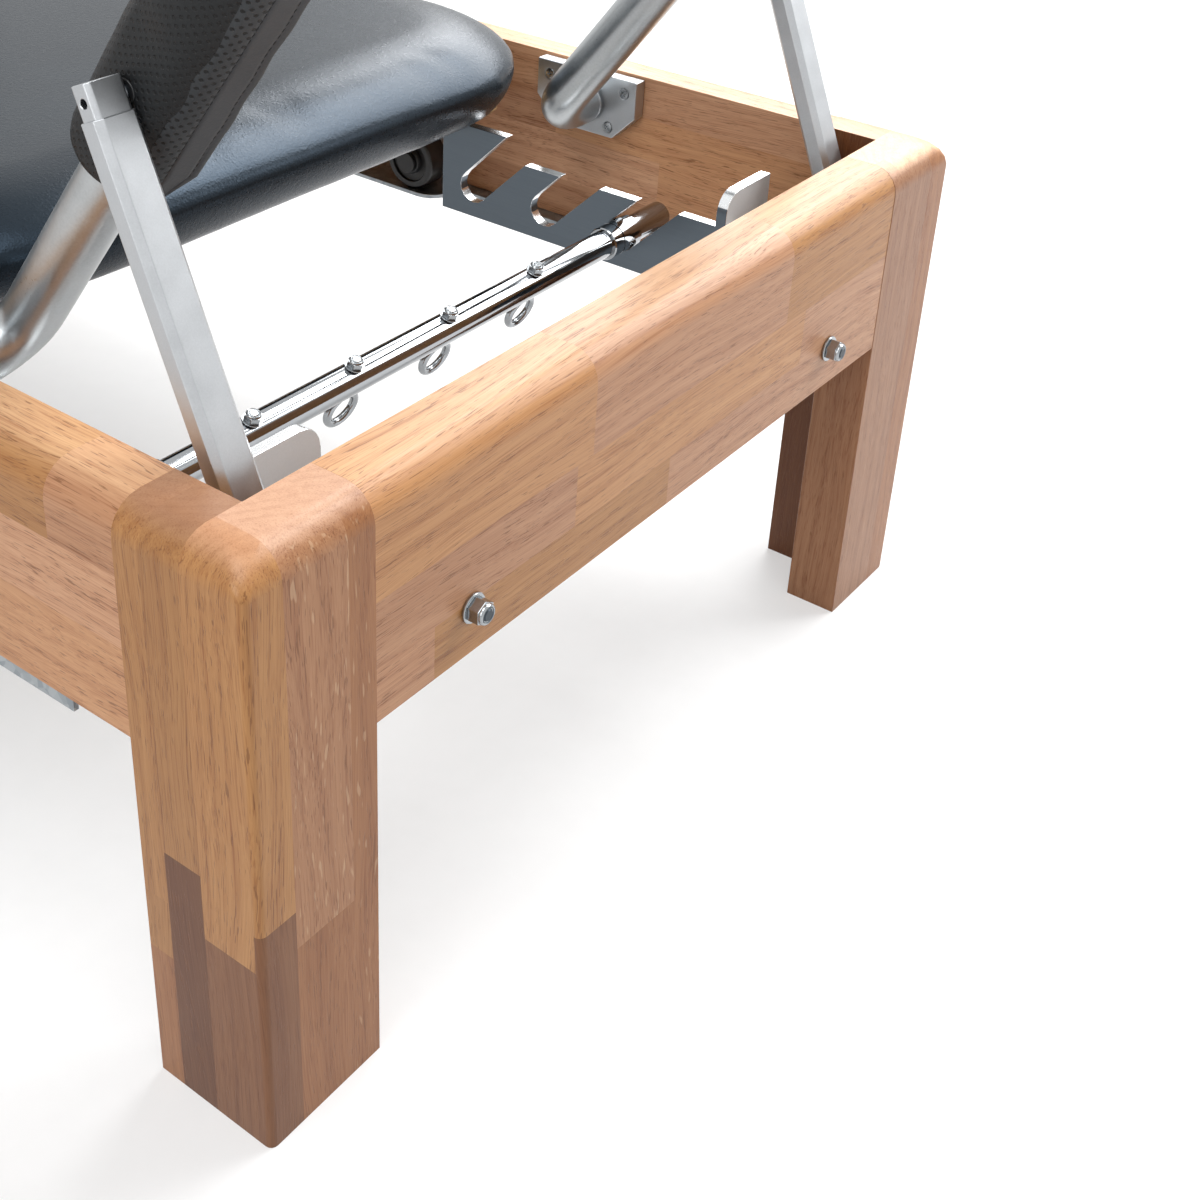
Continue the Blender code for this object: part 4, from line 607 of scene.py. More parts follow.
# A strip is (its far edge across the grain, its blocks); a block is (its far end along the grain,
# tone, share of ray flecks, tone of the end grain), and the last two may be left out. 9 is past the
# board's end. Legs count from the outer faces and the floor.
legStrips = {
    "right": {
        "endBoard": [(0.0240, [(0.152, "umber", 0.0, "rose"), (9, "honey", 0.0, "rose")]),
                     (0.0655, [(0.127, "brown", 0.1, "rose"), (9, "clay", 0.9, "linen")]),
                     (9, [(9, "brown", 0.8, "linen")])],
        "sideBoard": [(0.0655, [(0.169, "smoke", 0.0, "brown"), (9, "tan", 0.0, "dusk")]),
                      (9, [(0.095, "brown", 0.0, "brown"), (0.134, "tan", 0.0, "brown"),
                           (9, "tan", 0.0, "dusk")])],
    },
    "left": {
        "endBoard": [(0.0280, [(9, "brown", 0.1, "cream")]), (0.0715, [(9, "dusk", 0.2, "cream")]),
                     (9, [(9, "dusk", 0.0, "blush")])],
        # the far leg's side board is smoke, the darkest tone, all over: painted shade for its inner face,
        # which stands in shadow
        "sideBoard": [(0.0600, [(0.190, "smoke", 0.0, "brown"), (9, "smoke", 0.0, "blush")]),
                      (9, [(9, "smoke", 0.0, "blush")])],
    },
}
# Rails count up from the floor, and along them from the middle of the frame
endRailStrips = [
    (0.264, [(-0.219, "rose", 0.1), (-0.004, "honey"), (9, "rose", 0.2)]),
    (0.303, [(-0.100, "rose"), (0.150, "amber"), (9, "rose", 0.1)]),
    (9, [(-0.086, "amber"), (0.125, "rose"), (9, "honey")]),
]
sideRailStrips = {
    "right": [(0.249, [(9, "peach")]), (0.284, [(0.60, "rose"), (9, "peach")]),
              (0.325, [(0.40, "amber"), (9, "blush")]),
              (9, [(0.55, "amber"), (1.065, "honey"), (9, "rose")])],
    "left": [(0.262, [(9, "rose")]), (0.300, [(0.98, "blush", 0.1), (9, "peach")]),
             (0.333, [(0.88, "rose"), (9, "peach")]), (9, [(0.70, "peach"), (9, "blush")])],
}
# painted light: faces that look upwards are painted towards cream, lighter as the light from above falls on
# them
paintedTopLight = {"share": 0.55, "from": 0.72, "to": 0.97}
stripChoice = {"width": (0.034, 0.044), "length": (0.28, 0.62),
               "tones": ("honey", "amber", "tan", "rose", "blush", "russet", "peach"), "slant": 2.2}
# The head end's boards: how far each runs across the grain, then along it
headBoards = {"endBoard": (0.0, 0.084, 0.0, 0.36), "sideBoard": (0.040, 0.084, 0.0, 0.36),
              "rail": (0.231, 0.365, -0.27, 0.27)}


def fullBlock(far, tone, flecks=0.0, endTone="tan"):
    return far, tone, flecks, endTone


def toneColour(name):
    return Vector(toLinear(oakTones[name])[:3])


def chosenStrips(seed, low, high, start, end):
    # strips for a board that the photograph doesn't show
    draw = random.Random(seed)
    strips = []
    edge = low
    while edge < high:
        edge += draw.uniform(*stripChoice["width"])
        place = start
        blocks = []
        while place < end:
            place += draw.uniform(*stripChoice["length"])
            blocks.append((place, draw.choice(stripChoice["tones"]), draw.choice((0, 0, 0.4))))
        blocks[-1] = (9, *blocks[-1][1:])
        strips.append((edge, blocks))
    strips[-1] = (9, strips[-1][1])
    return strips


def paintOak(bm, seed, inBoard, boards):
    # cuts the surface along every joint, then gives each block its tone and its own run of grain, and paints
    # its upward faces lighter as painted light from above
    tones = bm.loops.layers.float_color.new("stripTone")
    places = bm.loops.layers.float_vector.new("grainPlace")
    ends = bm.loops.layers.float.new("endGrain")
    back = inBoard.inverted()
    for board in boards:
        along, across = board["along"], board["across"]
        cuts = [(across, edge) for edge, _ in board["strips"][:-1]]
        cuts += [(along, block[0]) for _, blocks in board["strips"] for block in blocks[:-1]]
        if board["upTo"] < 9:
            cuts.append((0, board["upTo"]))
        for axis, value in cuts:
            normal = Vector([float(i == axis) for i in range(3)])
            faces = [f for f in bm.faces if board["from"] <= (inBoard @ faceCentre(f))[0] <= board["upTo"]
                     or axis == 0]
            around = inOrder(e for f in faces for e in f.edges) + inOrder(v for f in faces for v in f.verts)
            bmesh.ops.bisect_plane(bm, geom=faces + around, dist=0.00001, plane_co=back @ (normal * value),
                                   plane_no=back.to_3x3() @ normal)
    for face in bm.faces:
        centre = inBoard @ faceCentre(face)
        board = next(b for b in boards if centre[0] <= b["upTo"])
        along, across = board["along"], board["across"]
        through = 3 - along - across
        row = next(i for i, (edge, _) in enumerate(board["strips"]) if centre[across] <= edge)
        blocks = board["strips"][row][1]
        column = next(i for i, block in enumerate(blocks) if centre[along] <= block[0])
        _, sideName, flecks, endName = fullBlock(*blocks[column])
        draw = random.Random("%s %s %d %d" % (seed, board["upTo"], row, column))
        offset = Vector([draw.uniform(0, 40) for _ in range(3)])
        lean = [math.tan(math.radians(draw.uniform(-1, 1) * stripChoice["slant"])) for _ in range(2)]
        shade = draw.uniform(0.95, 1.05)
        sideTone, endTone = toneColour(sideName) * shade, toneColour(endName) * shade
        # painted highlight: the tone that upward faces take, lightened towards cream
        paintedLitTop = sideTone.lerp(toneColour("cream"), paintedTopLight["share"])
        for loop in face.loops:
            place = inBoard @ loop.vert.co
            facing = inBoard.to_3x3() @ loop.vert.normal
            endShare = smoothStep(abs(facing[along]), 0.55, 0.98)
            upward = smoothStep(facing[2], paintedTopLight["from"], paintedTopLight["to"])
            tone = sideTone.lerp(paintedLitTop, upward).lerp(endTone, endShare)
            loop[tones] = (*tone, flecks * (1 - endShare))
            loop[ends] = endShare
            run = place[along]
            loop[places] = Vector((run + offset[0], place[across] + lean[0] * run + offset[1],
                                   place[through] + lean[1] * run + offset[2]))


# How far a rail's ends run on into the legs, and an end rail's outer face comes forward to theirs
joint = {"endWithin": 0.0002, "reach": 0.00045, "faceDepth": 0.030, "faceReach": 0.0007}


def closeJoints(bm, axis, faceAxis):
    low, high = (pick(v.co[axis] for v in bm.verts) for pick in (min, max))
    for vert in bm.verts:
        if min(vert.co[axis] - low, high - vert.co[axis]) < joint["endWithin"]:
            vert.co[axis] += math.copysign(joint["reach"], vert.co[axis])
        if faceAxis is not None and abs(vert.co[faceAxis]) > footX - joint["faceDepth"]:
            vert.co[faceAxis] += math.copysign(joint["faceReach"], vert.co[faceAxis])


def boardOf(strips, along=1, across=2, start=-1, upTo=9):
    return {"from": start, "upTo": upTo, "along": along, "across": across, "strips": strips}


def oakPiece(name, node, inBoard, boards, jointAxis=None, faceAxis=None):
    bm = nodeShape(node)
    if jointAxis is not None:
        closeJoints(bm, jointAxis, faceAxis)
    softenEdges(bm, 0.0002, 1)
    paintOak(bm, node, inBoard, boards)
    finishPiece(name, bm, "frame", [oak], [node], turnOut=False)


for word, side in sides.items():
    for endWord, end in (("Foot", 1), ("Head", -1)):
        corner = Vector((footX if end > 0 else headX, side * halfWidth, 0))
        inBoard = Matrix.Diagonal((-end, -side, 1, 1)) @ Matrix.Translation(-corner)
        node = "leg_%s_%s" % (endWord.lower(), word)
        if end > 0:
            strips = legStrips[word]
        else:
            strips = {"endBoard": chosenStrips(node + "end", *headBoards["endBoard"]),
                      "sideBoard": chosenStrips(node + "side", *headBoards["sideBoard"])}
        oakPiece("leg%s%s" % (endWord, word.title()), node, inBoard,
                 [boardOf(strips["endBoard"], 2, 1, upTo=boardThick),
                  boardOf(strips["sideBoard"], 2, 0, start=boardThick)])
    # a side rail's own axes: through it, along it, up it
    inBoard = Matrix(((0, -side, 0, halfWidth), (1, 0, 0, 0), (0, 0, 1, 0), (0, 0, 0, 1)))
    oakPiece("sideRail" + word.title(), "side_rail_" + word, inBoard, [boardOf(sideRailStrips[word])], 0)
for endWord, end in (("Foot", 1), ("Head", -1)):
    node = "end_rail_" + endWord.lower()
    inBoard = Matrix(((-end, 0, 0, end * (footX if end > 0 else headX)), (0, 1, 0, 0), (0, 0, 1, 0),
                      (0, 0, 0, 1)))
    strips = endRailStrips if end > 0 else chosenStrips(node, *headBoards["rail"])
    oakPiece("endRail" + endWord, node, inBoard, [boardOf(strips)], 1, 0)
print("oak frame ready")


# Sheet and plate pieces: the frame's own shapes with softened edges and finishes by face

def platePiece(name, node, body, materials, slot, edge, chooser=None, segments=2):
    # chooser gives each face's place in the list of materials
    bm = nodeShape(node)
    softenEdges(bm, edge, segments)
    if chooser:
        for face in bm.faces:
            face.material_index = chooser(face)
    finishPiece(name, bm, body, materials, [node], turnOut=False)


# where the gear plate's bent tab is: distances from the foot end, and the height it starts at
gearTab = {"near": 0.092, "far": 0.103, "above": 0.300}
axleHeadInside = halfWidth - 0.0815


def gearFinish(face):
    # broad faces are anodised, the tab's front is painted pale as a painted reflection, and the cut edges are
    # bright
    middle = faceCentre(face)
    onTab = gearTab["near"] < footX - middle.x < gearTab["far"] and middle.z > gearTab["above"]
    if abs(face.normal.y) > 0.9:
        return 0
    if abs(face.normal.x) > 0.9:
        return 2 if onTab else 0
    return 1


def plateHead(face):
    # an axle's head is a black cap on the bright plate
    return 1 if abs(faceCentre(face).y) < axleHeadInside else 0


plates = [
    ("track", "track_", "frame", [galvanised], "galvanised_sheet", 0.0004),
    ("gearPlate", "gear_plate_", "frame", [anodised, cutEdge, tabPaintedReflection], "anodised_plate", 0.0007,
     gearFinish, 3),
    ("propSeat", "prop_seat_", "frame", [blackNylon], "black_nylon", 0.0010),
    ("carriageSidePlate", "carriage_side_plate_", "carriage", [galvanised, blackNylon], "galvanised_sheet",
     0.0005, plateHead),
    ("shoulderBracket", "shoulder_bracket_", "carriage", [galvanised], "galvanised_sheet", 0.0008),
    ("uprightSocket", "upright_socket_", "frame", [blackNylon], "black_nylon", 0.0015, None, 3),
    ("pulleyBlock", "pulley_block_", "frame", [blackNylon], "black_nylon", 0.0008),
    ("pushBarCollar", "push_bar_collar_", "frame", [blackNylon], "black_nylon", 0.0008),
]
for word in sides:
    for name, node, *rest in plates:
        platePiece(name + word.title(), node + word, *rest)
platePiece("springTray", "spring_tray", "carriage", [galvanised], "galvanised_sheet", 0.0006)


# Screws. A countersunk head with a cross in it, made once and set in place by its matrix

screwShape = {"head": 0.0046, "crown": 0.0004, "under": 0.0022, "cross": 0.0052, "slot": 0.0010,
              "deep": 0.0018, "well": 0.0052, "wellDeep": 0.0016}


def screwHead():
    # stands on z 0 with its crown upwards
    bm = bmesh.new()
    head, crown, under = screwShape["head"], screwShape["crown"], screwShape["under"]
    addTurned(bm, [(0, -under), (head * 0.55, -under), (head, 0), (head * 0.96, crown * 0.6),
                   (head * 0.6, crown), (0, crown)], (0, 0, 0), (0, 0, 1), 28)
    long, wide, deep = screwShape["cross"] / 2, screwShape["slot"] / 2, screwShape["deep"]
    for x, y in ((long, wide), (wide, long)):
        cross = bmesh.new()
        addBlock(cross, (-x, -y, -deep), (x, y, crown * 3))
        bmesh.ops.transform(cross, matrix=Matrix.Rotation(math.radians(20), 4, "Z"), verts=cross.verts)
        bm = cutWith(bm, cross)
    return bm


screwMesh = meshFrom("screwMesh", screwHead())


def addScrew(bm, place, direction, turn, size):
    before = set(bm.verts)
    bm.from_mesh(screwMesh)
    pose = (Matrix.Translation(place) @ Vector(direction).to_track_quat("Z", "Y").to_matrix().to_4x4()
            @ Matrix.Rotation(turn, 4, "Z") @ Matrix.Scale(size, 4))
    bmesh.ops.transform(bm, matrix=pose, verts=[v for v in bm.verts if v not in before])


def screwPiece(name, body, places, direction, size):
    # places are screw centres on a face that looks along direction
    bm = bmesh.new()
    draw = random.Random(name)
    for place in places:
        addScrew(bm, place, direction, draw.uniform(0, math.tau), size)
    finishPiece(name, bm, body, [zinc], (), 35, turnOut=False)


# Footbar brackets, countersunk for four screws each

bracketScrews = [(-0.035, 0.014), (0.035, 0.014), (-0.022, -0.016), (0.022, -0.016)]
footbarPivot = Vector((footX - 0.2805, 0, 0.338))
# the rail's board, the gap behind the bracket and the bracket itself
bracketFront = boardThick + 0.0004 + 0.0117

for word, side in sides.items():
    bm = nodeShape("footbar_bracket_" + word)
    softenEdges(bm, 0.0009)
    face = Vector((0, side * (halfWidth - bracketFront), 0))
    inwards = Vector((0, -side, 0))
    centres = [footbarPivot + face + Vector((x, 0, z)) for x, z in bracketScrews]
    wells = bmesh.new()
    for centre in centres:
        well, deep = screwShape["well"], screwShape["wellDeep"]
        addTurned(wells, [(0, -deep), (well * 0.80, -deep), (well * 1.04, deep * 0.1), (well * 1.04, deep),
                          (0, deep)], centre, inwards, 28)
    bm = cutWith(bm, wells)
    finishPiece("footbarBracket" + word.title(), bm, "frame", [blasted], ["footbar_bracket_" + word])
    screwPiece("bracketScrews" + word.title(), "frame",
               [c - inwards * screwShape["wellDeep"] * 0.35 for c in centres], inwards, 0.92)


# Nuts, washers and bolts

def addLockNut(bm, acrossFlats, centre, direction, start, height, boltRadius, tip):
    # hexagon with a turned collar, its nylon ring and the bolt's end: materials 0, 1 and 2
    hexHigh = height * 0.78
    flat = acrossFlats / 2
    addHexagon(bm, acrossFlats, centre, direction, start, start + hexHigh, acrossFlats * 0.045)
    top = start + height
    addTurned(bm, [(flat * 0.5, start + hexHigh * 0.9), (flat * 0.95, start + hexHigh * 0.9),
                   (flat * 0.95, top - flat * 0.22), (flat * 0.88, top - flat * 0.07), (flat * 0.76, top),
                   (flat * 0.70, top - flat * 0.05), (flat * 0.5, top - flat * 0.10)], centre, direction, 32,
              ring=True)
    addTurned(bm, [(boltRadius * 0.98, top - flat * 0.20), (flat * 0.69, top - flat * 0.20),
                   (flat * 0.68, top - flat * 0.02), (boltRadius * 1.02, top - flat * 0.03)], centre,
              direction, 28, ring=True, material=1)
    end = start + tip
    addTurned(bm, [(0, start), (boltRadius, start), (boltRadius, end - boltRadius * 0.28),
                   (boltRadius * 0.74, end), (0, end)], centre, direction, 24, material=2)


def addWasher(bm, radius, bore, centre, direction, start, thick):
    edge, end = thick * 0.22, start + thick
    addTurned(bm, [(bore, start), (radius - edge, start), (radius, start + edge), (radius, end - edge),
                   (radius - edge, end), (bore, end)], centre, direction, 36, ring=True)


railBolt = {"fromSide": 0.157, "height": 0.260, "sink": 0.0003, "flats": 0.0130, "nut": 0.0092,
            "tip": 0.0026, "bolt": 0.0040, "washer": 0.0088, "washerThick": 0.0016, "faceGap": 0.0004,
            "head": 0.0064, "headBack": 0.0050, "headEdge": 0.0012, "headHigh": 0.0048}
for word, side in sides.items():
    node = "end_rail_bolt_" + word
    low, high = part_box(node)
    rail = Vector((footX - railBolt["sink"], side * (halfWidth - railBolt["fromSide"]), railBolt["height"]))
    gap, shank, head = railBolt["faceGap"], railBolt["bolt"], railBolt["head"]
    seat = gap + railBolt["washerThick"]
    bm = bmesh.new()
    addWasher(bm, railBolt["washer"], shank, rail, (1, 0, 0), gap, railBolt["washerThick"])
    addLockNut(bm, railBolt["flats"], rail, (1, 0, 0), seat, railBolt["nut"], shank,
               high.x - rail.x + railBolt["tip"] - seat)
    back = low.x - rail.x
    front = back + railBolt["headHigh"]
    addTurned(bm, [(0, back), (railBolt["headBack"], back), (head, back + railBolt["headEdge"]),
                   (head, front), (shank, front), (shank, gap), (0, gap)], rail, (1, 0, 0), 28)
    finishPiece("endRailBolt" + word.title(), bm, "frame", [zinc, nylonRing, darkSteel], [node])
print("plates and bolts ready")


# Spring bar with its collars, and the four eyebolts through it

springBar = {"radius": 0.0100, "collar": 0.0121, "groove": 0.0012, "grooveSlope": 0.0002, "inside": 0.021,
             "outside": 0.004, "gearFace": {"left": 0.146, "right": 0.0915}, "gearThick": 0.008,
             "edge": 0.0008}
barCentre = Vector((footX - 0.1795, 0, 0.2853))
barEnd = {"left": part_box("spring_bar")[1].y, "right": -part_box("spring_bar")[0].y}


def barProfile(word):
    radius, collar, edge = springBar["radius"], springBar["collar"], springBar["edge"]
    inner = halfWidth - springBar["gearFace"][word]
    start = inner - springBar["inside"]
    end = inner + springBar["gearThick"] + springBar["outside"]
    groove = (start + inner) / 2
    low, wide = collar - springBar["groove"], springBar["groove"]
    step = springBar["grooveSlope"]
    return [(radius, start), (collar - edge, start), (collar, start + edge), (collar, groove),
            (low, groove + step), (low, groove + wide), (collar, groove + wide + step), (collar, end - edge),
            (collar - edge, end), (radius, end), (radius, barEnd[word] - edge),
            (radius - edge, barEnd[word]), (0, barEnd[word])]


bm = bmesh.new()
addTurned(bm, [(r, -t) for r, t in reversed(barProfile("right"))] + barProfile("left"), barCentre,
          (0, 1, 0), 48)
finishPiece("springBar", bm, "spring_bar", [chrome], ["spring_bar"])

eyebolt = {"places": (-0.1700, -0.0850, 0.0040, 0.0945), "tilt": math.radians(19.6), "ring": 0.0115,
           "wire": 0.0027, "drop": 0.0250, "shank": 0.0030, "flats": 0.0096, "nut": 0.0050,
           "washer": 0.0062, "washerThick": 0.0008, "lift": 0.0004}
eyeUp = Vector((math.sin(eyebolt["tilt"]), 0, math.cos(eyebolt["tilt"])))
for number, place in enumerate(eyebolt["places"], 1):
    bm = bmesh.new()
    centre = barCentre + Vector((0, place, 0))
    seat = springBar["radius"] + eyebolt["lift"]
    top = seat + eyebolt["washerThick"]
    addWasher(bm, eyebolt["washer"], eyebolt["shank"], centre, eyeUp, seat, eyebolt["washerThick"])
    addLockNut(bm, eyebolt["flats"], centre, eyeUp, top, eyebolt["nut"], eyebolt["shank"],
               eyebolt["nut"] + 0.0002)
    neck = eyebolt["ring"] - eyebolt["drop"]
    addTurned(bm, [(0, neck - 0.001), (0.0034, neck), (0.0030, neck + 0.003), (0.0030, top), (0, top)],
              centre, eyeUp, 20)
    addTurned(bm, wireSection(eyebolt["ring"], eyebolt["wire"], 14), centre - eyeUp * eyebolt["drop"],
              Vector((0, 1, 0)).cross(eyeUp), 48, ring=True)
    finishPiece("eyebolt%d" % number, bm, "spring_bar", [zinc] * 3, ["eyebolt_%d" % number])
print("spring bar ready")


# Footbar: one bent tube, and two props with solid ends

footbar = {"radius": 0.0165, "fromSide": 0.101, "angle": math.radians(52.5), "arm": 0.420,
           "elbow": 0.036, "top": 0.085, "start": 0.0560}


def armPoint(side, along):
    x, z = (along * wave(footbar["angle"]) for wave in (math.cos, math.sin))
    return Vector((footbarPivot.x + x, side * (halfWidth - footbar["fromSide"]), footbarPivot.z + z))


def footbarCorners():
    start = Vector((footbarPivot.x, halfWidth - footbar["start"], footbarPivot.z))
    left = [start, armPoint(1, 0), armPoint(1, footbar["arm"])]
    return left + [Vector((p.x, -p.y, p.z)) for p in reversed(left)]


bm = bmesh.new()
addBentTube(bm, footbar["radius"], footbarCorners(),
            [footbar["elbow"], footbar["top"], footbar["top"], footbar["elbow"]], 32, 16)
finishPiece("footbarTube", bm, "footbar", [blastedTube], ["footbar_tube"],
            evenNormals=False)

prop = {"along": 0.233, "fromSide": 0.0615, "width": 0.0240, "depth": 0.0160, "chamfer": 0.0035,
        "angle": math.radians(112.6), "length": 0.220, "below": 0.008, "above": 0.0085, "wall": 0.0013,
        "inTube": 0.050, "bore": 0.0044, "eye": 0.0023, "web": 0.0030, "fitGap": 0.0002, "pinGap": 0.0004}


def propPoint(side):
    # where the pin's line crosses the middle of the prop
    place = armPoint(side, prop["along"])
    place.y = side * (halfWidth - prop["fromSide"])
    return place


def propBody(side, inset, chamfer, top, bottom, roundFoot=False):
    # a box along the prop, its long edges chamfered; top and bottom count down from the pin
    depth, width = prop["depth"] - inset, prop["width"] - inset
    up = Vector((math.cos(prop["angle"]), 0, math.sin(prop["angle"])))
    across = Vector((up.z, 0, -up.x))
    pose = Matrix.Translation(propPoint(side)) @ Matrix((across, (0, 1, 0), up)).transposed().to_4x4()
    bm = bmesh.new()
    made = bmesh.ops.create_cube(bm, size=1.0, matrix=Matrix.Translation((0, 0, -(top + bottom) / 2))
                                 @ Matrix.Diagonal((depth, width, bottom - top, 1)))
    edges = inOrder(e for v in made["verts"] for e in v.link_edges)
    long = [e for e in edges if abs((e.verts[0].co - e.verts[1].co).z) > depth]
    bmesh.ops.bevel(bm, geom=long, offset=chamfer, affect="EDGES", segments=1, profile=0.5, material=-1)
    if roundFoot:
        low = min(v.co.z for v in bm.verts)
        foot = [e for e in bm.edges if all(abs(v.co.z - low) < 1e-6 for v in e.verts)
                and abs(e.verts[0].co.x - e.verts[1].co.x) < 1e-6 and abs(e.verts[0].co.x) > depth * 0.45]
        bmesh.ops.bevel(bm, geom=foot, offset=depth * 0.49, affect="EDGES", segments=10, profile=0.5,
                        material=-1)
    bmesh.ops.transform(bm, matrix=pose, verts=bm.verts)
    return bm


for word, side in sides.items():
    title = word.title()
    pinPlace = armPoint(side, prop["along"])
    chamfer, tubeTop = prop["chamfer"], prop["below"]
    bm = cutWith(propBody(side, 0, chamfer, tubeTop, prop["length"] + prop["depth"] / 2, True),
                 propBody(side, 2 * prop["wall"], chamfer * 0.6, 0, tubeTop + prop["inTube"]))
    softenEdges(bm, 0.0006)
    finishPiece("propTube" + title, bm, "prop_" + word, [blasted], ["prop_tube_" + word])

    # the pin stops short of the outer face, which has only a small eye through it
    fit = 2 * (prop["wall"] + prop["fitGap"])
    web = prop["width"] / 2 - fit / 2 - prop["web"]
    bore = bmesh.new()
    addTurned(bore, [(0, -prop["width"]), (prop["bore"], -prop["width"]), (prop["bore"], web),
                     (prop["eye"], web), (prop["eye"], prop["width"]), (0, prop["width"])], propPoint(side),
              (0, side, 0), 32)
    bm = cutWith(propBody(side, fit, chamfer * 0.6, -prop["above"], tubeTop + prop["inTube"] - 0.001), bore)
    softenEdges(bm, 0.0006)
    finishPiece("propBlock" + title, bm, "prop_" + word, [blasted], ["prop_block_" + word])

    # shouldered pin, hollow ended, from the arm into the block
    bm = bmesh.new()
    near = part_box("prop_pin_" + word)[0 if side > 0 else 1].y * side
    start = near - pinPlace.y * side
    middle = halfWidth - prop["fromSide"] - pinPlace.y * side
    tip = middle + web - prop["pinGap"]
    shoulder = middle - prop["width"] / 2 - prop["pinGap"]
    addTurned(bm, [(0, start), (0.0060, start), (0.0065, start + 0.0005), (0.0065, shoulder - 0.0004),
                   (0.0061, shoulder), (0.0039, shoulder)], pinPlace, (0, side, 0), 28, material=1)
    addTurned(bm, [(0.0040, shoulder - 0.001), (0.0040, tip - 0.0005), (0.0035, tip), (0.0018, tip),
                   (0.0016, tip - 0.003), (0, tip - 0.0035)], pinPlace, (0, side, 0), 28)
    finishPiece("propPin" + title, bm, "footbar", [darkSteel, blackNylon], ["prop_pin_" + word])
print("footbar ready")


# Sleeve on the footbar. A station gives the place and axes of the bar's middle line at a distance
# from the right pivot; a faces the floor at the foot end, b is outwards in the plane of the bend.

barWay = Vector((math.cos(footbar["angle"]), 0, math.sin(footbar["angle"])))
barUnder = Vector((barWay.z, 0, -barWay.x))
armStraight = footbar["arm"] - footbar["top"]
bendLength = footbar["top"] * math.pi / 2
topHalf = halfWidth - footbar["fromSide"] - footbar["top"]
halfRun = armStraight + bendLength + topHalf


def barStation(distance):
    mirror = distance > halfRun
    run = 2 * halfRun - distance if mirror else distance
    bendCentre = armPoint(-1, armStraight) + Vector((0, footbar["top"], 0))
    if run <= armStraight:
        place, way, out = armPoint(-1, run), barWay.copy(), Vector((0, -1, 0))
    elif run <= armStraight + bendLength:
        turn = (run - armStraight) / footbar["top"]
        out = Vector((0, -math.cos(turn), 0)) + barWay * math.sin(turn)
        way = barWay * math.cos(turn) + Vector((0, math.sin(turn), 0))
        place = bendCentre + out * footbar["top"]
    else:
        place = bendCentre + barWay * footbar["top"] + Vector((0, run - armStraight - bendLength, 0))
        way, out = Vector((0, 1, 0)), barWay.copy()
    if mirror:
        flip = Vector((1, -1, 1))
        place, out, way = place * flip, out * flip, -way * flip
    return Matrix.Translation(place) @ Matrix((barUnder, out, way)).transposed().to_4x4()


def alongBar(point):
    # the reverse: distance along the bar, and the offsets towards a and b
    side = -1 if point.y < 0 else 1
    from0 = point - armPoint(side, 0)
    climb, inwards = from0.dot(barWay), -side * from0.y
    bend = footbar["top"]
    if climb < armStraight:
        run, out = climb, -inwards
    elif inwards < bend:
        turn = math.atan2(climb - armStraight, bend - inwards)
        run = armStraight + bend * turn
        out = math.hypot(climb - armStraight, bend - inwards) - bend
    else:
        run, out = armStraight + bendLength + inwards - bend, climb - armStraight - bend
    return (run if side < 0 else 2 * halfRun - run), from0.dot(barUnder), out


def sweepProfile(bm, points, stops, shaped):
    # each stop is a (distance, scale) along the bar; shaped gives a point's (a, b) offsets there
    def placed(point, stop):
        a, b = shaped(point, stop[0])
        return barStation(stop[0]) @ Vector((a * stop[1], b * stop[1], 0))

    order = [bm.verts.new(placed(p, stops[0])) for p in points]
    edges = firstEdges = [bm.edges.new(pair) for pair in zip(order, order[1:] + order[:1])]
    for stop in stops[1:]:
        made = bmesh.ops.extrude_edge_only(bm, edges=edges)["geom"]
        fresh = {g for g in made if isinstance(g, bmesh.types.BMVert)}
        edges = [g for g in made if isinstance(g, bmesh.types.BMEdge) and all(v in fresh for v in g.verts)]
        order = [next(e.other_vert(vert) for e in vert.link_edges if e.other_vert(vert) in fresh)
                 for vert in order]
        for vert, point in zip(order, points):
            vert.co = placed(point, stop)
    for rim in (firstEdges, edges):
        bmesh.ops.holes_fill(bm, edges=rim, sides=0)


sleeve = {
    "radius": 0.0310, "step": 0.0045, "around": 72, "relief": 0.0739, "reliefTo": 0.267, "reliefFade": 0.020,
    "ripple": 0.0005, "bore": 0.0169, "boreFrom": 0.10, "pinHole": 0.0069,
    "end": ((0.1740, 0.0218), (0.1746, 0.0240), (0.1765, 0.0264), (0.1800, 0.0285), (0.1860, 0.0298),
            (0.2000, 0.0305), (0.2330, 0.0310)),
}


def sleeveStops():
    low = list(sleeve["end"])
    start, end = low[-1][0], 2 * halfRun - low[-1][0]
    count = round((end - start) / sleeve["step"])
    middle = [(start + (end - start) * i / count, sleeve["radius"]) for i in range(1, count)]
    high = [(2 * halfRun - run, radius) for run, radius in reversed(low)]
    return low + middle + high


def pressFlat(bm):
    # the foam is pressed flat beside each prop, and springs back above it
    plane = halfWidth - sleeve["relief"]
    for vert in bm.verts:
        run, _, _ = alongBar(vert.co)
        run = min(run, 2 * halfRun - run)
        free = smoothStep(run, sleeve["reliefTo"], sleeve["reliefTo"] + sleeve["reliefFade"])
        over = abs(vert.co.y) - plane
        if over > 0 and free < 1:
            vert.co.y -= math.copysign(over * (1 - free), vert.co.y)


def wrapMap(bm):
    # metres along the bar and round it; the way round is a whole number of rows of holes
    layer = bm.loops.layers.uv.new("wrapMap")
    rows = round(math.tau * sleeve["radius"] / (perforation["pitch"] * math.sqrt(2)))
    girth = rows * perforation["pitch"] * math.sqrt(2)
    for face in bm.faces:
        turns = []
        for loop in face.loops:
            run, a, b = alongBar(loop.vert.co)
            turns.append((run, math.atan2(b, a) / math.tau))
        wide = max(t for _, t in turns) - min(t for _, t in turns) > 0.5
        for loop, (run, turn) in zip(face.loops, turns):
            loop[layer].uv = (run, (turn + 1 if wide and turn < 0 else turn) * girth)


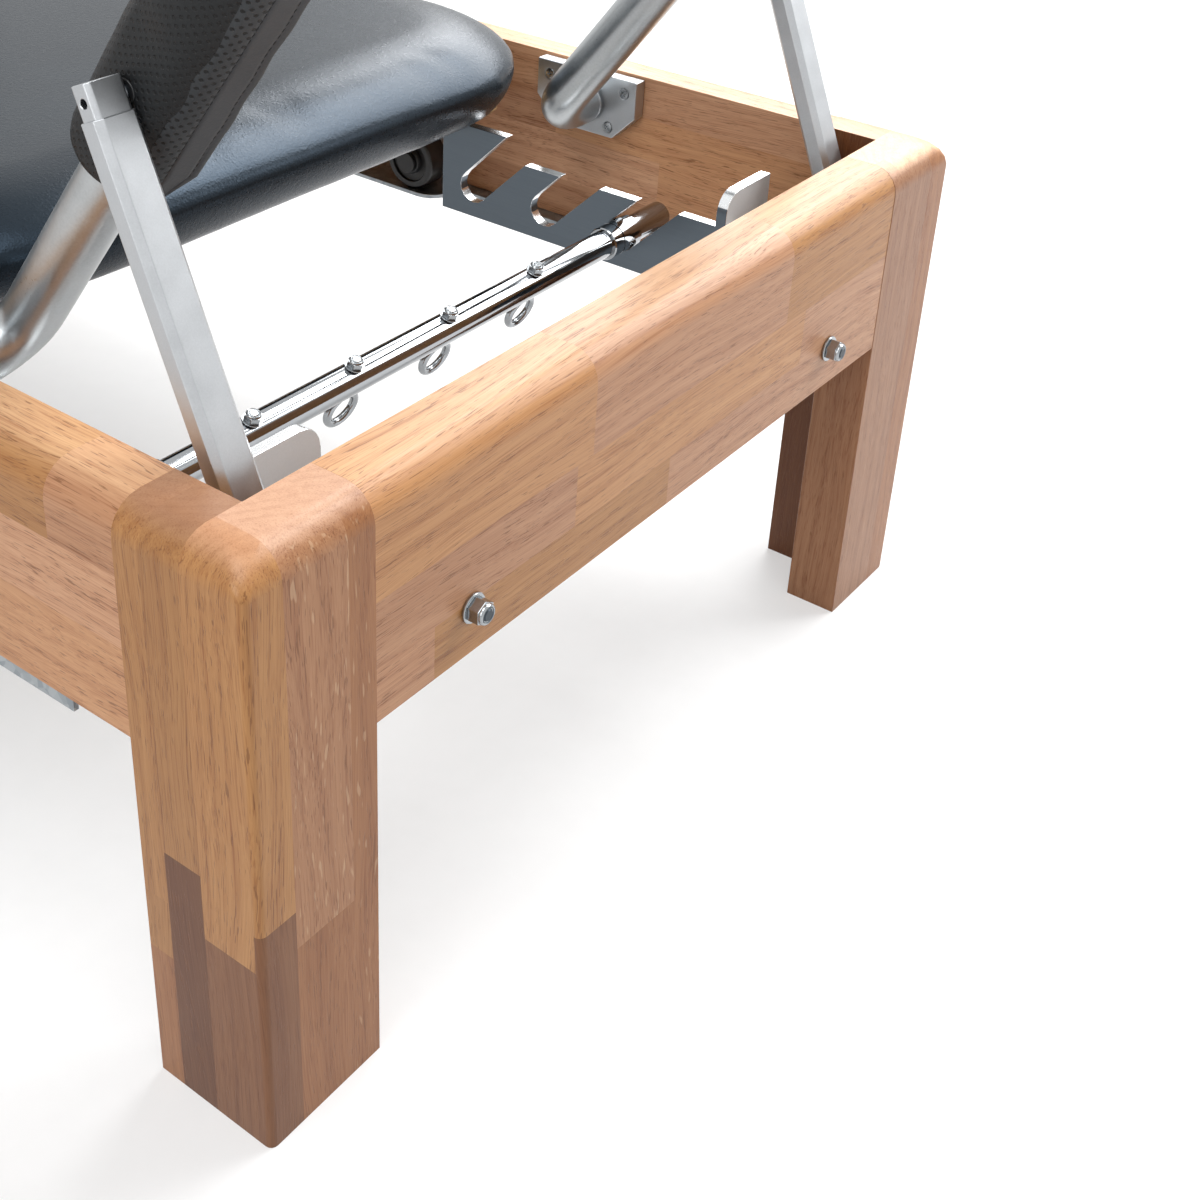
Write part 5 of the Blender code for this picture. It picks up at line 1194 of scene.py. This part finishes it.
def makeSleeve():
    bm = bmesh.new()
    turns = [t * math.tau / sleeve["around"] for t in range(sleeve["around"])]
    circle = [(math.cos(t), math.sin(t)) for t in turns]
    draw = random.Random("sleeve")
    phases = [draw.uniform(0, math.tau) for _ in range(3)]

    def rippled(point, run):
        angle = math.atan2(point[1], point[0])
        wave = sum(math.sin(run * (70 + 55 * i) + phases[i] + (i + 1) * angle) for i in range(3)) / 3
        size = 1 + wave * sleeve["ripple"] / sleeve["radius"]
        return point[0] * size, point[1] * size

    sweepProfile(bm, circle, sleeveStops(), rippled)
    pressFlat(bm)
    bore = bmesh.new()
    corners = [armPoint(-1, sleeve["boreFrom"]), armPoint(-1, footbar["arm"]), armPoint(1, footbar["arm"]),
               armPoint(1, sleeve["boreFrom"])]
    addBentTube(bore, sleeve["bore"], corners, [footbar["top"]] * 2, 32, 16)
    bm = cutWith(bm, bore)
    for side in sides.values():
        hole = bmesh.new()
        wide = sleeve["pinHole"]
        addTurned(hole, [(0, 0.020), (wide, 0.020), (wide, 0.050), (0, 0.050)], armPoint(side, prop["along"]),
                  (0, side, 0), 24)
        bm = cutWith(bm, hole)
    wrapMap(bm)
    piece = finishPiece("footbarSleeve", bm, "footbar", [sleeveLeather], ["footbar_sleeve"],
                        60, evenNormals=False)


makeSleeve()

# Hem along the sleeve: a punched lap, a stitch line, then a flat flap with a rolled edge

hem = {"angle": math.radians(17.8), "lap": math.radians(19), "proud": 0.0009, "flap": 0.0155,
       "thick": 0.0013, "roll": 0.0011, "start": 0.1800, "slant": 0.018, "stitch": 0.0032, "pitch": 0.0042,
       "threadRadius": 0.00035, "edgeLine": 0.0030, "wave": 0.0007, "sunk": 0.0012}


def hemPoint(reach, lift):
    # reach is the distance from the stitch line, below zero on the lap; lift is off the leather
    radius = sleeve["radius"]
    if reach < 0:
        angle = hem["angle"] - reach / radius
        return ((radius + lift) * math.cos(angle), (radius + lift) * math.sin(angle))
    x, y = math.cos(hem["angle"]), math.sin(hem["angle"])
    return ((radius + lift) * x + y * reach, (radius + lift) * y - x * reach)


def hemWave(run):
    return hem["wave"] * (math.sin(run * 190) + 0.6 * math.sin(run * 77 + 1.3)) / 1.6


def makeHem():
    lap = sleeve["radius"] * hem["lap"]
    proud, flap, thick, roll = hem["proud"], hem["flap"], hem["thick"], hem["roll"]
    under, edgeLine, sunk = proud - thick, hem["edgeLine"], -hem["sunk"]
    rows = [(-lap - 0.0030, sunk), (-lap - 0.0030, -0.0002), (-lap, proud * 0.5)]
    rows += [(-lap * (1 - i / 8), proud) for i in range(1, 7)]
    # the stitch line's valley, the flat flap and the groove of its edge seam
    rows += [(-0.0009, proud), (-0.0004, proud * 0.55), (0.0, proud * 0.35), (0.0004, proud * 0.6),
             (0.0010, proud)]
    rows += [(flap * i / 6, proud) for i in range(1, 5)]
    rows += [(flap - edgeLine - 0.0010, proud), (flap - edgeLine, proud * 0.6), (flap - 0.0022, proud)]
    rows += [(flap + roll * math.sin(math.radians(t)), proud - thick / 2 + roll * math.cos(math.radians(t)))
             for t in range(0, 181, 30)]
    rows += [(flap - 0.0022, under), (flap * 0.5, under), (0.003, under), (0.0, sunk)]
    stops = [(run, 1.0) for run, _ in sleeveStops() if hem["start"] <= run <= 2 * halfRun - hem["start"]]
    stops = [(hem["start"], 1.0)] + stops[1:-1] + [(2 * halfRun - hem["start"], 1.0)]

    def trimmed(row, run):
        # the flap's corner is cut away at each end, and its edge wanders a little
        fromEnd = min(run, 2 * halfRun - run) - hem["start"]
        share = min(1.0, 0.10 + fromEnd / hem["slant"])
        reach, lift = row
        if reach > 0:
            reach = reach * share + hemWave(run) * reach / flap
        return hemPoint(reach, lift)

    bm = bmesh.new()
    sweepProfile(bm, rows, stops, trimmed)
    pressFlat(bm)
    wrapMap(bm)
    for face in bm.faces:
        _, a, b = alongBar(faceCentre(face))
        face.material_index = 0 if math.atan2(b, a) > hem["angle"] + 0.02 else 1
    finishPiece("sleeveHem", bm, "footbar", [litLapLeather, hemLeather], (), 50,
                evenNormals=False)


makeHem()


def makeStitches(name, reach, lift):
    # one row of short stitches, each a stretched ball sunk a little into the leather
    bm = bmesh.new()
    start, end = hem["start"] + hem["slant"], 2 * halfRun - hem["start"] - hem["slant"]
    count = int((end - start) / hem["pitch"])
    for index in range(count):
        run = start + (index + 0.5) * (end - start) / count
        across = hemPoint(reach + hemWave(run) * reach / hem["flap"], lift)
        pose = barStation(run) @ Matrix.Translation((*across, 0)) @ Matrix.Rotation(math.radians(7), 4, "X")
        radius = hem["threadRadius"]
        bmesh.ops.create_icosphere(bm, subdivisions=1, radius=1.0,
                                   matrix=pose @ Matrix.Diagonal((radius, radius, hem["stitch"] / 2, 1)))
    finishPiece(name, bm, "footbar", [thread], (), 80, evenNormals=False)


makeStitches("hemStitches", 0.0, hem["proud"] * 0.45)
makeStitches("flapStitches", hem["flap"] - hem["edgeLine"], hem["proud"] * 0.70)
print("sleeve ready")


# Padded pieces: each swells a little in a cloth simulation, and keeps within its frame shape

restPad = {"body": "carriage", "voxel": 0.0045, "inset": 0.0020, "cap": 0.0030, "frames": 20, "fill": 0.9}
pads = {
    "carriagePad": {"node": "carriage_pad", "body": "carriage", "voxel": 0.0065, "inset": 0.0020,
                    "cap": 0.0030, "frames": 18, "fill": 0.95,
                    "crown": 0.012, "crownReach": 0.105, "corner": 0.125},
    "headrestPad": {"node": "headrest_pad", "body": "headrest", "voxel": 0.0045, "inset": 0.0025,
                    "cap": 0.0040, "frames": 20, "fill": 0.85},
    "shoulderRestLeft": {"node": "shoulder_rest_left", **restPad},
    "shoulderRestRight": {"node": "shoulder_rest_right", **restPad},
}
# what the cloth of every pad has in common
padCloth = {"use_pressure": True, "uniform_pressure_force": 4.0, "quality": 5, "tension_stiffness": 25,
            "compression_stiffness": 25}


def bakedShape(thing):
    shown = thing.evaluated_get(bpy.context.evaluated_depsgraph_get())
    return bpy.data.meshes.new_from_object(shown)


def swell(thing, pad):
    # cloth under pressure with no gravity; no point moves further than the cap
    resting = [v.co.copy() for v in thing.data.vertices]
    cloth = thing.modifiers.new("swelling", "CLOTH")
    for setting, value in padCloth.items():
        setattr(cloth.settings, setting, value)
    cloth.settings.effector_weights.gravity = 0
    scene = bpy.context.scene
    for step in range(1, pad["frames"] + 1):
        scene.frame_set(step)
    swollen = bakedShape(thing)
    thing.modifiers.remove(cloth)
    scene.frame_set(1)
    for vert, start, end in zip(thing.data.vertices, resting, swollen.vertices):
        move = end.co - start
        if move.length > pad["cap"]:
            move *= pad["cap"] / move.length
        vert.co = start + move
    bpy.data.meshes.remove(swollen)


def relax(bm, times):
    for _ in range(times):
        bmesh.ops.smooth_vert(bm, verts=bm.verts, factor=0.5, use_axis_x=True, use_axis_y=True,
                              use_axis_z=True)


def crownTop(bm, pad, low, high):
    # the top slopes gently down towards its rounded outline
    middle, half = (low + high) / 2, (high - low) / 2
    corner = pad["corner"]
    for vert in bm.verts:
        away = vert.co - middle
        x, y = (abs(away[i]) - half[i] + corner for i in (0, 1))
        inside = corner - math.hypot(max(x, 0), max(y, 0)) - min(max(x, y), 0)
        slope = 1 - min(1, max(0, inside) / pad["crownReach"])
        vert.co.z -= pad["crown"] * slope ** 2 * smoothStep(vert.co.z, middle.z - half.z * 0.4, high.z)


def makePad(name, pad):
    node = pad["node"]
    bm = nodeShape(node)
    bmesh.ops.triangulate(bm, faces=[f for f in bm.faces if len(f.verts) > 4])
    thing = linked(name, meshFrom(name, bm))
    remesh = thing.modifiers.new("evenFaces", "REMESH")
    remesh.mode = "VOXEL"
    remesh.voxel_size = pad["voxel"]
    even = bakedShape(thing)
    thing.modifiers.remove(remesh)
    thing.data = even
    bm = shapeOf(even)
    relax(bm, 4)
    bm.normal_update()
    for vert in bm.verts:
        vert.co -= vert.normal * pad["inset"]
    low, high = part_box(node)
    if "crown" in pad:
        crownTop(bm, pad, low, high)
    bm.to_mesh(even)
    bm.free()
    swell(thing, pad)
    for vert in even.vertices:
        for axis in range(3):
            vert.co[axis] = min(high[axis], max(low[axis], vert.co[axis]))
    bm = shapeOf(even)
    bpy.data.objects.remove(thing, do_unlink=True)
    relax(bm, 1)
    piece = finishPiece(name, bm, pad["body"], [slate], [node], 80, evenNormals=False)
    smooth = piece.modifiers.new("rounder", "SUBSURF")
    smooth.levels = smooth.render_levels = 1


for padName, pad in pads.items():
    makePad(padName, pad)
print("pads ready")


# Plywood under the pads

for boardName, node, body in (("carriageBase", "carriage_base", "carriage"),
                              ("headrestBoard", "headrest_board", "headrest")):
    bm = nodeShape(node)
    softenEdges(bm, 0.0012)
    finishPiece(boardName, bm, body, [plywood], [node], turnOut=False)


# Wheels: a tyre on a nylon hub, with a bearing's rings round the axle

wheel = {"radius": 0.0240, "half": 0.0110, "edge": 0.0022, "rim": 0.0175, "hub": 0.0110,
         "hubHalf": 0.0125, "bearing": 0.0090, "bore": 0.0054}


def wheelShape(centre):
    radius, half, edge, rim, hub, hubHalf, bearing, bore = wheel.values()
    turns = [math.radians(t) for t in range(0, 91, 15)]
    face, seal = hubHalf - 0.0004, hubHalf - 0.0012
    tread = [(rim, half - 0.0012), (rim + 0.0008, half)]
    tread += [(radius - edge + edge * math.sin(t), half - edge + edge * math.cos(t)) for t in turns]
    disc = [(bearing, hubHalf), (hub - 0.0008, hubHalf), (hub, hubHalf - 0.0008),
            (hub + 0.0004, half - 0.0030), (rim - 0.0004, half - 0.0024), (rim + 0.0004, half - 0.0016)]
    race = [(bore, face), (bore + 0.0013, face), (bore + 0.0014, seal), (bearing - 0.0013, seal),
            (bearing - 0.0012, face), (bearing + 0.0002, face)]
    bm = bmesh.new()
    for index, (profile, steps) in enumerate(((tread, 56), (disc, 48), (race, 40))):
        addTurned(bm, mirrored(profile), centre, (0, 1, 0), steps, ring=True, material=index)
    return bm


for word in sides:
    for endWord in ("front", "rear"):
        node = "wheel_%s_%s" % (endWord, word)
        low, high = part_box(node)
        centre = (low + high) / 2
        centre.z = low.z + wheel["radius"]
        finishPiece("wheel%s%s" % (endWord.title(), word.title()), wheelShape(centre), node,
                    [tyre, blackNylon, darkSteel], [node])
print("wheels ready")


# Springs: close coils with a hook at each end

spring = {"wire": 0.0016, "coil": 0.0134, "length": 0.310, "turnSteps": 14, "gap": 0.00005,
          "hook": 0.0084, "hookAt": 0.0140}


def coilMesh():
    # a ring of wire turned and pushed along X, from x 0
    wire = spring["wire"]
    pitch = 2 * wire + spring["gap"]
    bm = bmesh.new()
    bmesh.ops.create_circle(bm, cap_ends=False, segments=7, radius=wire, matrix=Matrix.Translation(
        (wire, 0, spring["coil"])) @ Matrix.Rotation(math.radians(90), 4, "X"))
    thing = linked("wireRing", meshFrom("wireRing", bm))
    screw = thing.modifiers.new("coil", "SCREW")
    screw.axis = "X"
    screw.screw_offset = pitch
    screw.iterations = int((spring["length"] - 2 * wire) / pitch)
    screw.steps = screw.render_steps = spring["turnSteps"]
    made = bakedShape(thing)
    bpy.data.objects.remove(thing, do_unlink=True)
    return made


coilOnce = coilMesh()
for number in range(1, 5):
    node = "spring_%d" % number
    low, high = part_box(node)
    middle = (low + high) / 2
    wire, coil, half = spring["wire"], spring["coil"], spring["length"] / 2
    bm = shapeOf(coilOnce)
    bmesh.ops.translate(bm, verts=bm.verts, vec=middle - Vector((half, 0, 0)))
    bmesh.ops.holes_fill(bm, edges=[e for e in bm.edges if e.is_boundary], sides=0)
    for end in (-1, 1):
        hook = middle + Vector((end * (half + spring["hookAt"]), 0, 0))
        addTurned(bm, wireSection(spring["hook"], wire, 10), hook, (0, 1, 0), 32, ring=True)
        bridge = ((half - 2 * wire, coil), (half + 0.0020, coil),
                  (half + spring["hookAt"] - spring["hook"], 0.0010))
        addBentTube(bm, wire, [middle + Vector((end * x, 0, z)) for x, z in bridge], [0.0030], 10, 5)
    finishPiece("spring%d" % number, bm, "carriage", [springWire], [node], 60,
                evenNormals=False)
print("springs ready")


# Tower: one bent tube, sheaves and the push-through bar

tower = {"radius": 0.0190, "bend": 0.120, "low": 0.2434}
low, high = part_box("tower_frame")
uprightY, towerX = high.y - tower["radius"], (low.x + high.x) / 2
bm = bmesh.new()
towerTop = high.z - tower["radius"]
addBentTube(bm, tower["radius"], [(towerX, -uprightY, tower["low"]), (towerX, -uprightY, towerTop),
                                  (towerX, uprightY, towerTop), (towerX, uprightY, tower["low"])],
            [tower["bend"]] * 2, 40, 20)
finishPiece("towerFrame", bm, "frame", [satinTube], ["tower_frame"], evenNormals=False)

sheave = {"radius": 0.0260, "half": 0.0065, "groove": 0.0060, "floor": 0.0016, "lip": 0.0049,
          "hub": 0.0105, "web": 0.0042, "race": 0.0078, "bore": 0.0044}


def sheaveShape(centre):
    radius, half, deep, floor, lip, hub, web, race, bore = sheave.values()
    turns = [math.radians(t) for t in range(15, 91, 15)]
    profile = [(radius - deep, 0)]
    profile += [(radius - deep * math.cos(t), floor + (lip - floor) * math.sin(t)) for t in turns]
    profile += [(radius, half - 0.0006), (radius - 0.0006, half), (radius - 0.0035, half),
                (radius - 0.0042, web), (hub + 0.0006, web), (hub, half - 0.0004), (hub - 0.0004, half),
                (race, half)]
    bm = bmesh.new()
    addTurned(bm, mirrored(profile, 1), centre, (0, 1, 0), 56, ring=True)
    addTurned(bm, mirrored([(bore, half - 0.0002), (race + 0.0001, half - 0.0002)]), centre, (0, 1, 0), 36,
              ring=True, material=1)
    return bm


for word in sides:
    node = "pulley_sheave_" + word
    low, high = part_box(node)
    finishPiece("sheave" + word.title(), sheaveShape((low + high) / 2), "sheave_" + word,
                [blackNylon, zinc], [node])

pushBar = {"radius": 0.0125, "pivot": 1.450, "above": 0.024, "bend": 0.060, "pin": 0.0064, "plug": 0.0030}
low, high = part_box("push_bar")
armY, pushX = high.y - pushBar["radius"], (low.x + high.x) / 2
barLow, barTop = low.z + pushBar["radius"], pushBar["pivot"] + pushBar["above"]
bm = bmesh.new()
addBentTube(bm, pushBar["radius"], [(pushX, -armY, barTop), (pushX, -armY, barLow), (pushX, armY, barLow),
                                    (pushX, armY, barTop)], [pushBar["bend"]] * 2, 32, 14)
for side in sides.values():
    hole = bmesh.new()
    addTurned(hole, [(0, -0.03), (pushBar["pin"], -0.03), (pushBar["pin"], 0.03), (0, 0.03)],
              (pushX, side * armY, pushBar["pivot"]), (0, 1, 0), 28)
    bm = cutWith(bm, hole)
finishPiece("pushBar", bm, "push_bar", [satinTube], ["push_bar"], evenNormals=False)
for word, side in sides.items():
    bm = bmesh.new()
    edge = pushBar["radius"]
    addTurned(bm, [(0, -0.004), (edge - 0.002, -0.004), (edge - 0.002, 0.0001), (edge + 0.0004, 0.0001),
                   (edge + 0.0004, 0.0016), (edge - 0.0008, 0.0026), (0, pushBar["plug"])],
              (pushX, side * armY, barTop), (0, 0, 1), 32)
    finishPiece("pushBarPlug" + word.title(), bm, "push_bar", [blackNylon], ())
print("tower ready")
